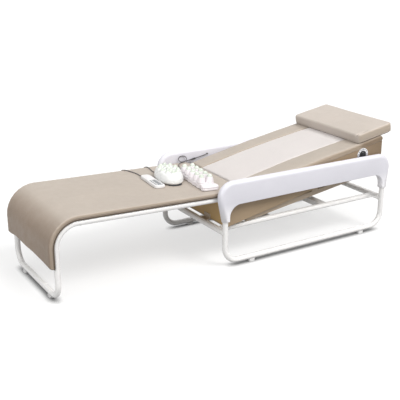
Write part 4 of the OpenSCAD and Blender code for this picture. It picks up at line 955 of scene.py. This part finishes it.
def plate(l, w, r, heights, bevel, n=8):
    """A flat plate with a bevelled top, at the heights of its foot, its bevel and its top."""
    plan = rounded_plan(l, w, r, n)
    narrower = rounded_plan(l - bevel, w - bevel, r - 0.0005, n)
    return stacked(list(zip((plan, plan, narrower), heights)))


def dome(cx, cy, z, r, h, n=20, rows=8):
    """A domed cap of radius r and height h that stands at z."""
    turns = [QUARTER * j / rows for j in range(rows)]
    levels = [(oval(r * math.cos(a), r * math.cos(a), n), z + h * math.sin(a)) for a in turns]
    return shifted(stacked(levels), cx, cy)


def cup(cx, cy, z, foot_r, lip_r, h, n=24):
    """A round cup that stands on a case, with a rolled lip and a shallow seat."""
    prof = [(foot_r * 1.08, 0), (foot_r, h * 0.12), (lerp(foot_r, lip_r, 0.5), h * 0.6), (lip_r, h * 0.92),
            (lip_r - 0.0008, h), (lip_r - 0.0022, h * 0.97), (lip_r - 0.0032, h * 0.86)]
    return shifted(stacked([(oval(r, r, n), z + up) for r, up in prof]), cx, cy)


def on_legs(name, forms, place, material, replaces=()):
    """A piece of one or more forms that lies on the leg section's mat."""
    return piece(name, placed(merge(forms), *place), "leg_section", material, replaces)


def handset_waist(x):
    return 0.05 * groove(x, 0.004, 0.035) + 0.09 * smoothstep(-0.006, 0.024, x)


HANDSET_LEVELS = [(0.004, 0.0), (0.0012, 0.0012), (0.0, 0.004), (0.0, 0.0085), (0.0006, 0.0088), (0.0, 0.0091),
                  (0.0004, 0.0125), (0.0022, 0.0152), (0.0052, 0.0166), (0.010, 0.0170)]
on_legs("handset_shell", [case(HANDSET_SIZE, 0.0175, 0.7, 10, handset_waist, HANDSET_LEVELS)], HANDSET_AT,
        "white_plastic", ["handset_case"])
keypad = plate(0.088, 0.040, 0.006, (0.0168, 0.0174, 0.0177), 0.0015)
on_legs("handset_keypad", [shifted(keypad, -0.048)], HANDSET_AT, "grey_plastic")
key = plate(0.0095, 0.008, 0.003, (0.0177, 0.0186, 0.0190), 0.0015, 4)
keys = [shifted(key, -0.081 + i * 0.0165, j * 0.0125) for i in range(5) for j in (-1, 1)]
on_legs("handset_small_keys", keys, HANDSET_AT, "white_plastic")
window = plate(0.046, 0.032, 0.005, (0.0167, 0.0172, 0.0174), 0.0020)
on_legs("handset_window", [shifted(window, 0.048)], HANDSET_AT, "pink_plastic")

# The oval projector's profile: shares of its half widths, and heights
DISC_LEVELS = [
    (0.80, 0.0), (0.806, 0.0012), (0.812, 0.0034), (0.86, 0.0042), (0.925, 0.0052), (0.966, 0.0074), (0.99, 0.0102),
    (1.0, 0.0130), (1.0, 0.0182), (0.996, 0.0218), (0.990, 0.0226), (0.989, 0.0232), (0.992, 0.0240),
    (0.975, 0.0296), (0.952, 0.0346), (0.925, 0.0396), (0.894, 0.0440), (0.858, 0.0480), (0.815, 0.0508),
    (0.765, 0.0526), (0.71, 0.0535), (0.66, 0.0538), (0.645, 0.0532), (0.63, 0.0528), (0.45, 0.0532),
    (0.25, 0.0535), (0.1, 0.0536)]
disc_shell = stacked([(oval(k * DISC_HALF[0], k * DISC_HALF[1], 84), z) for k, z in DISC_LEVELS])
# Ten domes in an oval and three down the middle: place and radius of each
disc_places = [(x, y, 0.0114) for x, y in oval(0.62 * DISC_HALF[0], 0.62 * DISC_HALF[1], 20)[1::2]]
disc_places += [(0, k * DISC_HALF[1] * 0.28, 0.0135) for k in (-1, 0, 1)]
disc_cups = [cup(x, y, 0.0520, r * 1.22, r * 1.12, 0.0062) for x, y, r in disc_places]
on_legs("disc_shell", [disc_shell] + disc_cups, DISC_AT, "cool_plastic", ["disc_case"])
disc_domes = [dome(x, y, 0.0565, r, 0.0114) for x, y, r in disc_places]
on_legs("disc_domes", disc_domes, DISC_AT, "jade", ["disc_jades"])
rim = oval(0.795 * DISC_HALF[0], 0.795 * DISC_HALF[1], 72)
foot = stacked([(scaled(rim, 0.985), 0.0001), (rim, 0.0006), (scaled(rim, 1.03), 0.0030)])
# A dark rubber pad set out under the near edge so that it shows there: painted shadow under that edge
shadow_pad_plan = oval(0.037, 0.029, 48)
shadow_pad = stacked([(shadow_pad_plan, 0.0002), (shadow_pad_plan, 0.0034), (scaled(shadow_pad_plan, 0.9), 0.0046)])
on_legs("disc_foot_ring_and_shadow_pad", [foot, shifted(shadow_pad, 0.004, -0.0875)], DISC_AT, "rubber")

CUP_FIRST, CUP_LAST = -0.26, 0.42  # shares of the long projector's length


def bar_waist(x):
    """The sides draw in between each two cups, and once before the first."""
    first, pitch = CUP_FIRST * BAR_SIZE[0], 0.17 * BAR_SIZE[0]
    if x < first:
        return 0.03 + 0.13 * groove(x, first - 0.024, 0.030)
    return 0.03 + 0.07 * math.sin(math.pi * (x - first) / pitch) ** 2


BAR_LEVELS = [(0.004, 0.0), (0.001, 0.0012), (0.0, 0.0045), (0.0, 0.0108), (0.0009, 0.0112), (0.0, 0.0117),
              (0.0006, 0.0180), (0.0026, 0.0222), (0.0062, 0.0248), (0.012, 0.0258), (0.022, 0.0260)]
bar_places = [(lerp(CUP_FIRST, CUP_LAST, k / 4) * BAR_SIZE[0], side * BAR_SIZE[1] * 0.23)
              for side in (-1, 1) for k in range(5)]
bar_cups = [cup(x, y, 0.0255, 0.0210, 0.0159, 0.0275) for x, y in bar_places]
on_legs("bar_shell", [case(BAR_SIZE, 0.0211, 0.6, 12, bar_waist, BAR_LEVELS)] + bar_cups, BAR_AT,
        "pink_plastic", ["bar_case"])
bar_domes = [dome(x, y, 0.0505, 0.0138, 0.0160) for x, y in bar_places]
on_legs("bar_domes", bar_domes, BAR_AT, "jade", ["bar_jades"])


# Weld beads, and the dial's mark and scale

RAIL_Z_LOW = 0.195 - 0.014 - 0.0015
RAIL_END_Y = 0.300 - 0.028 - 0.032 - 0.0002
CROSS_Z = RAIL_Z_LOW + 0.014 - 0.016
DIAL_X, DIAL_Y, DIAL_Z = 0.793, -0.2779, 0.4357
MARK_OUT, SPOTS_OUT, SPOTS = 0.0155, 0.0305, 11


def weld(centre, axis, r, n=60):
    """A bead round a tube that runs along the x or the y axis."""
    x, y, z = centre
    pts = [(x + c, y, z + h) if axis == "y" else (x, y + c, z + h) for c, h in oval(r, r, n)]
    return sweep_tube(pts, [0.0021 + 0.00035 * math.sin(k * 2.1) for k in range(n)], 8, True)


welds = []
for sy in (-1, 1):
    welds += [weld((x, sy * 0.2862, CROSS_Z), "y", 0.0158) for x in (ARM["foot_x"], ARM["head_x"])]
    welds += [weld((x, sy * RAIL_END_Y, RAIL_Z_LOW), "x", 0.0142) for x in (-0.0808, 0.9128)]
piece("weld_beads", merge(welds), "base", "tube")

mark_plan = rounded_plan(0.0014, 0.0060, 0.0006, 4)
mark_points, mark_faces = stacked([(mark_plan, 0.0), (mark_plan, 0.0005)])
mark_points = [(DIAL_X + x, DIAL_Y - z, DIAL_Z + MARK_OUT + y) for x, y, z in mark_points]
piece("dial_mark", (mark_points, mark_faces), "dial_knob", "white_mark")
spots = []
for k in range(SPOTS):
    a = math.radians(225 - 27 * k)
    x, z, r = DIAL_X + SPOTS_OUT * math.cos(a), DIAL_Z + SPOTS_OUT * math.sin(a), 0.0029 if k % 5 else 0.0037
    spots.append(sweep_tube([(x, DIAL_Y + 0.0005, z), (x, DIAL_Y, z)], r, 14))
piece("dial_scale", merge(spots), "base", "black")


# Stage: white where the camera and glossy surfaces see it, dim where it would light the object

CONTACT_REACH, FLOOR_GLOW = 0.042, 0.64
WORLD_LIGHT, WORLD_SEEN = 0.35, 1.0


def floor_material():
    """A pale floor that keeps the object's shadow, and has painted contact shade that darkens it close to what
    stands on it.
    """
    s = Shader("floor_white", 0.9)
    plain = s.ramp(s.noise(1.5, 2), [(0.3, (0.36, 0.36, 0.36)), (0.7, (0.37, 0.37, 0.37))])
    # Painted contact shade: darker where something stands close above the floor
    near = s.add("ShaderNodeAmbientOcclusion", samples=16)
    near.inputs["Distance"].default_value = CONTACT_REACH
    painted_contact_shade = s.ramp(near.outputs["AO"], [(0.42, 0.0), (0.88, 1.0)])
    s.colour(s.mix(painted_contact_shade, (0.16, 0.16, 0.16), plain))
    path = s.add("ShaderNodeLightPath")
    seen = s.math("ADD", path.outputs["Is Camera Ray"], path.outputs["Is Glossy Ray"], True)
    seen = s.math("ADD", seen, path.outputs["Is Transmission Ray"], True)
    s.bsdf.inputs["Emission Color"].default_value = (1, 1, 1, 1)
    glow = s.math("MULTIPLY", s.math("MULTIPLY", seen, FLOOR_GLOW), painted_contact_shade)
    s.link(glow, s.bsdf.inputs["Emission Strength"])
    s.bsdf.inputs["Specular IOR Level"].default_value = 0.0
    return s.mat


bpy.ops.mesh.primitive_plane_add(size=60, location=(0, 0, 0))
floor = bpy.context.object
floor.name = "floor"
floor.data.materials.append(floor_material())

world = bpy.data.worlds.new("world")
world.use_nodes = True
world.node_tree.nodes["Background"].inputs[0].default_value = (1, 0.985, 0.97, 1)
sky, join = world.node_tree.nodes, world.node_tree.links.new
strength, path = sky.new("ShaderNodeMapRange"), sky.new("ShaderNodeLightPath")
strength.inputs["To Min"].default_value = WORLD_LIGHT
strength.inputs["To Max"].default_value = WORLD_SEEN
seen = path.outputs["Is Camera Ray"]
for other in ("Is Glossy Ray", "Is Transmission Ray"):
    either = sky.new("ShaderNodeMath")
    either.operation = "MAXIMUM"
    join(seen, either.inputs[0])
    join(path.outputs[other], either.inputs[1])
    seen = either.outputs[0]
join(seen, strength.inputs["Value"])
join(strength.outputs[0], sky["Background"].inputs[1])
SCENE.world = world


def sun(name, azimuth, elevation, angle, strength, colour=(1, 1, 1)):
    """A wide soft light that comes from a compass direction, in degrees from -Y towards +X."""
    data = bpy.data.lights.new(name, "SUN")
    data.angle = math.radians(angle)
    data.energy = strength
    data.color = colour
    obj = bpy.data.objects.new(name, data)
    a, e = math.radians(azimuth), math.radians(elevation)
    way = Vector((math.sin(a) * math.cos(e), -math.cos(a) * math.cos(e), math.sin(e)))
    obj.location = way * 4
    obj.rotation_euler = way.to_track_quat("Z", "Y").to_euler()
    SCENE.collection.objects.link(obj)


sun("top", 0, 84, 70, 0.95)
sun("key", 28, 48, 28, 2.2, (1, 0.99, 0.975))
sun("fill", -62, 26, 60, 1.25)

SCENE.view_settings.view_transform = "Standard"
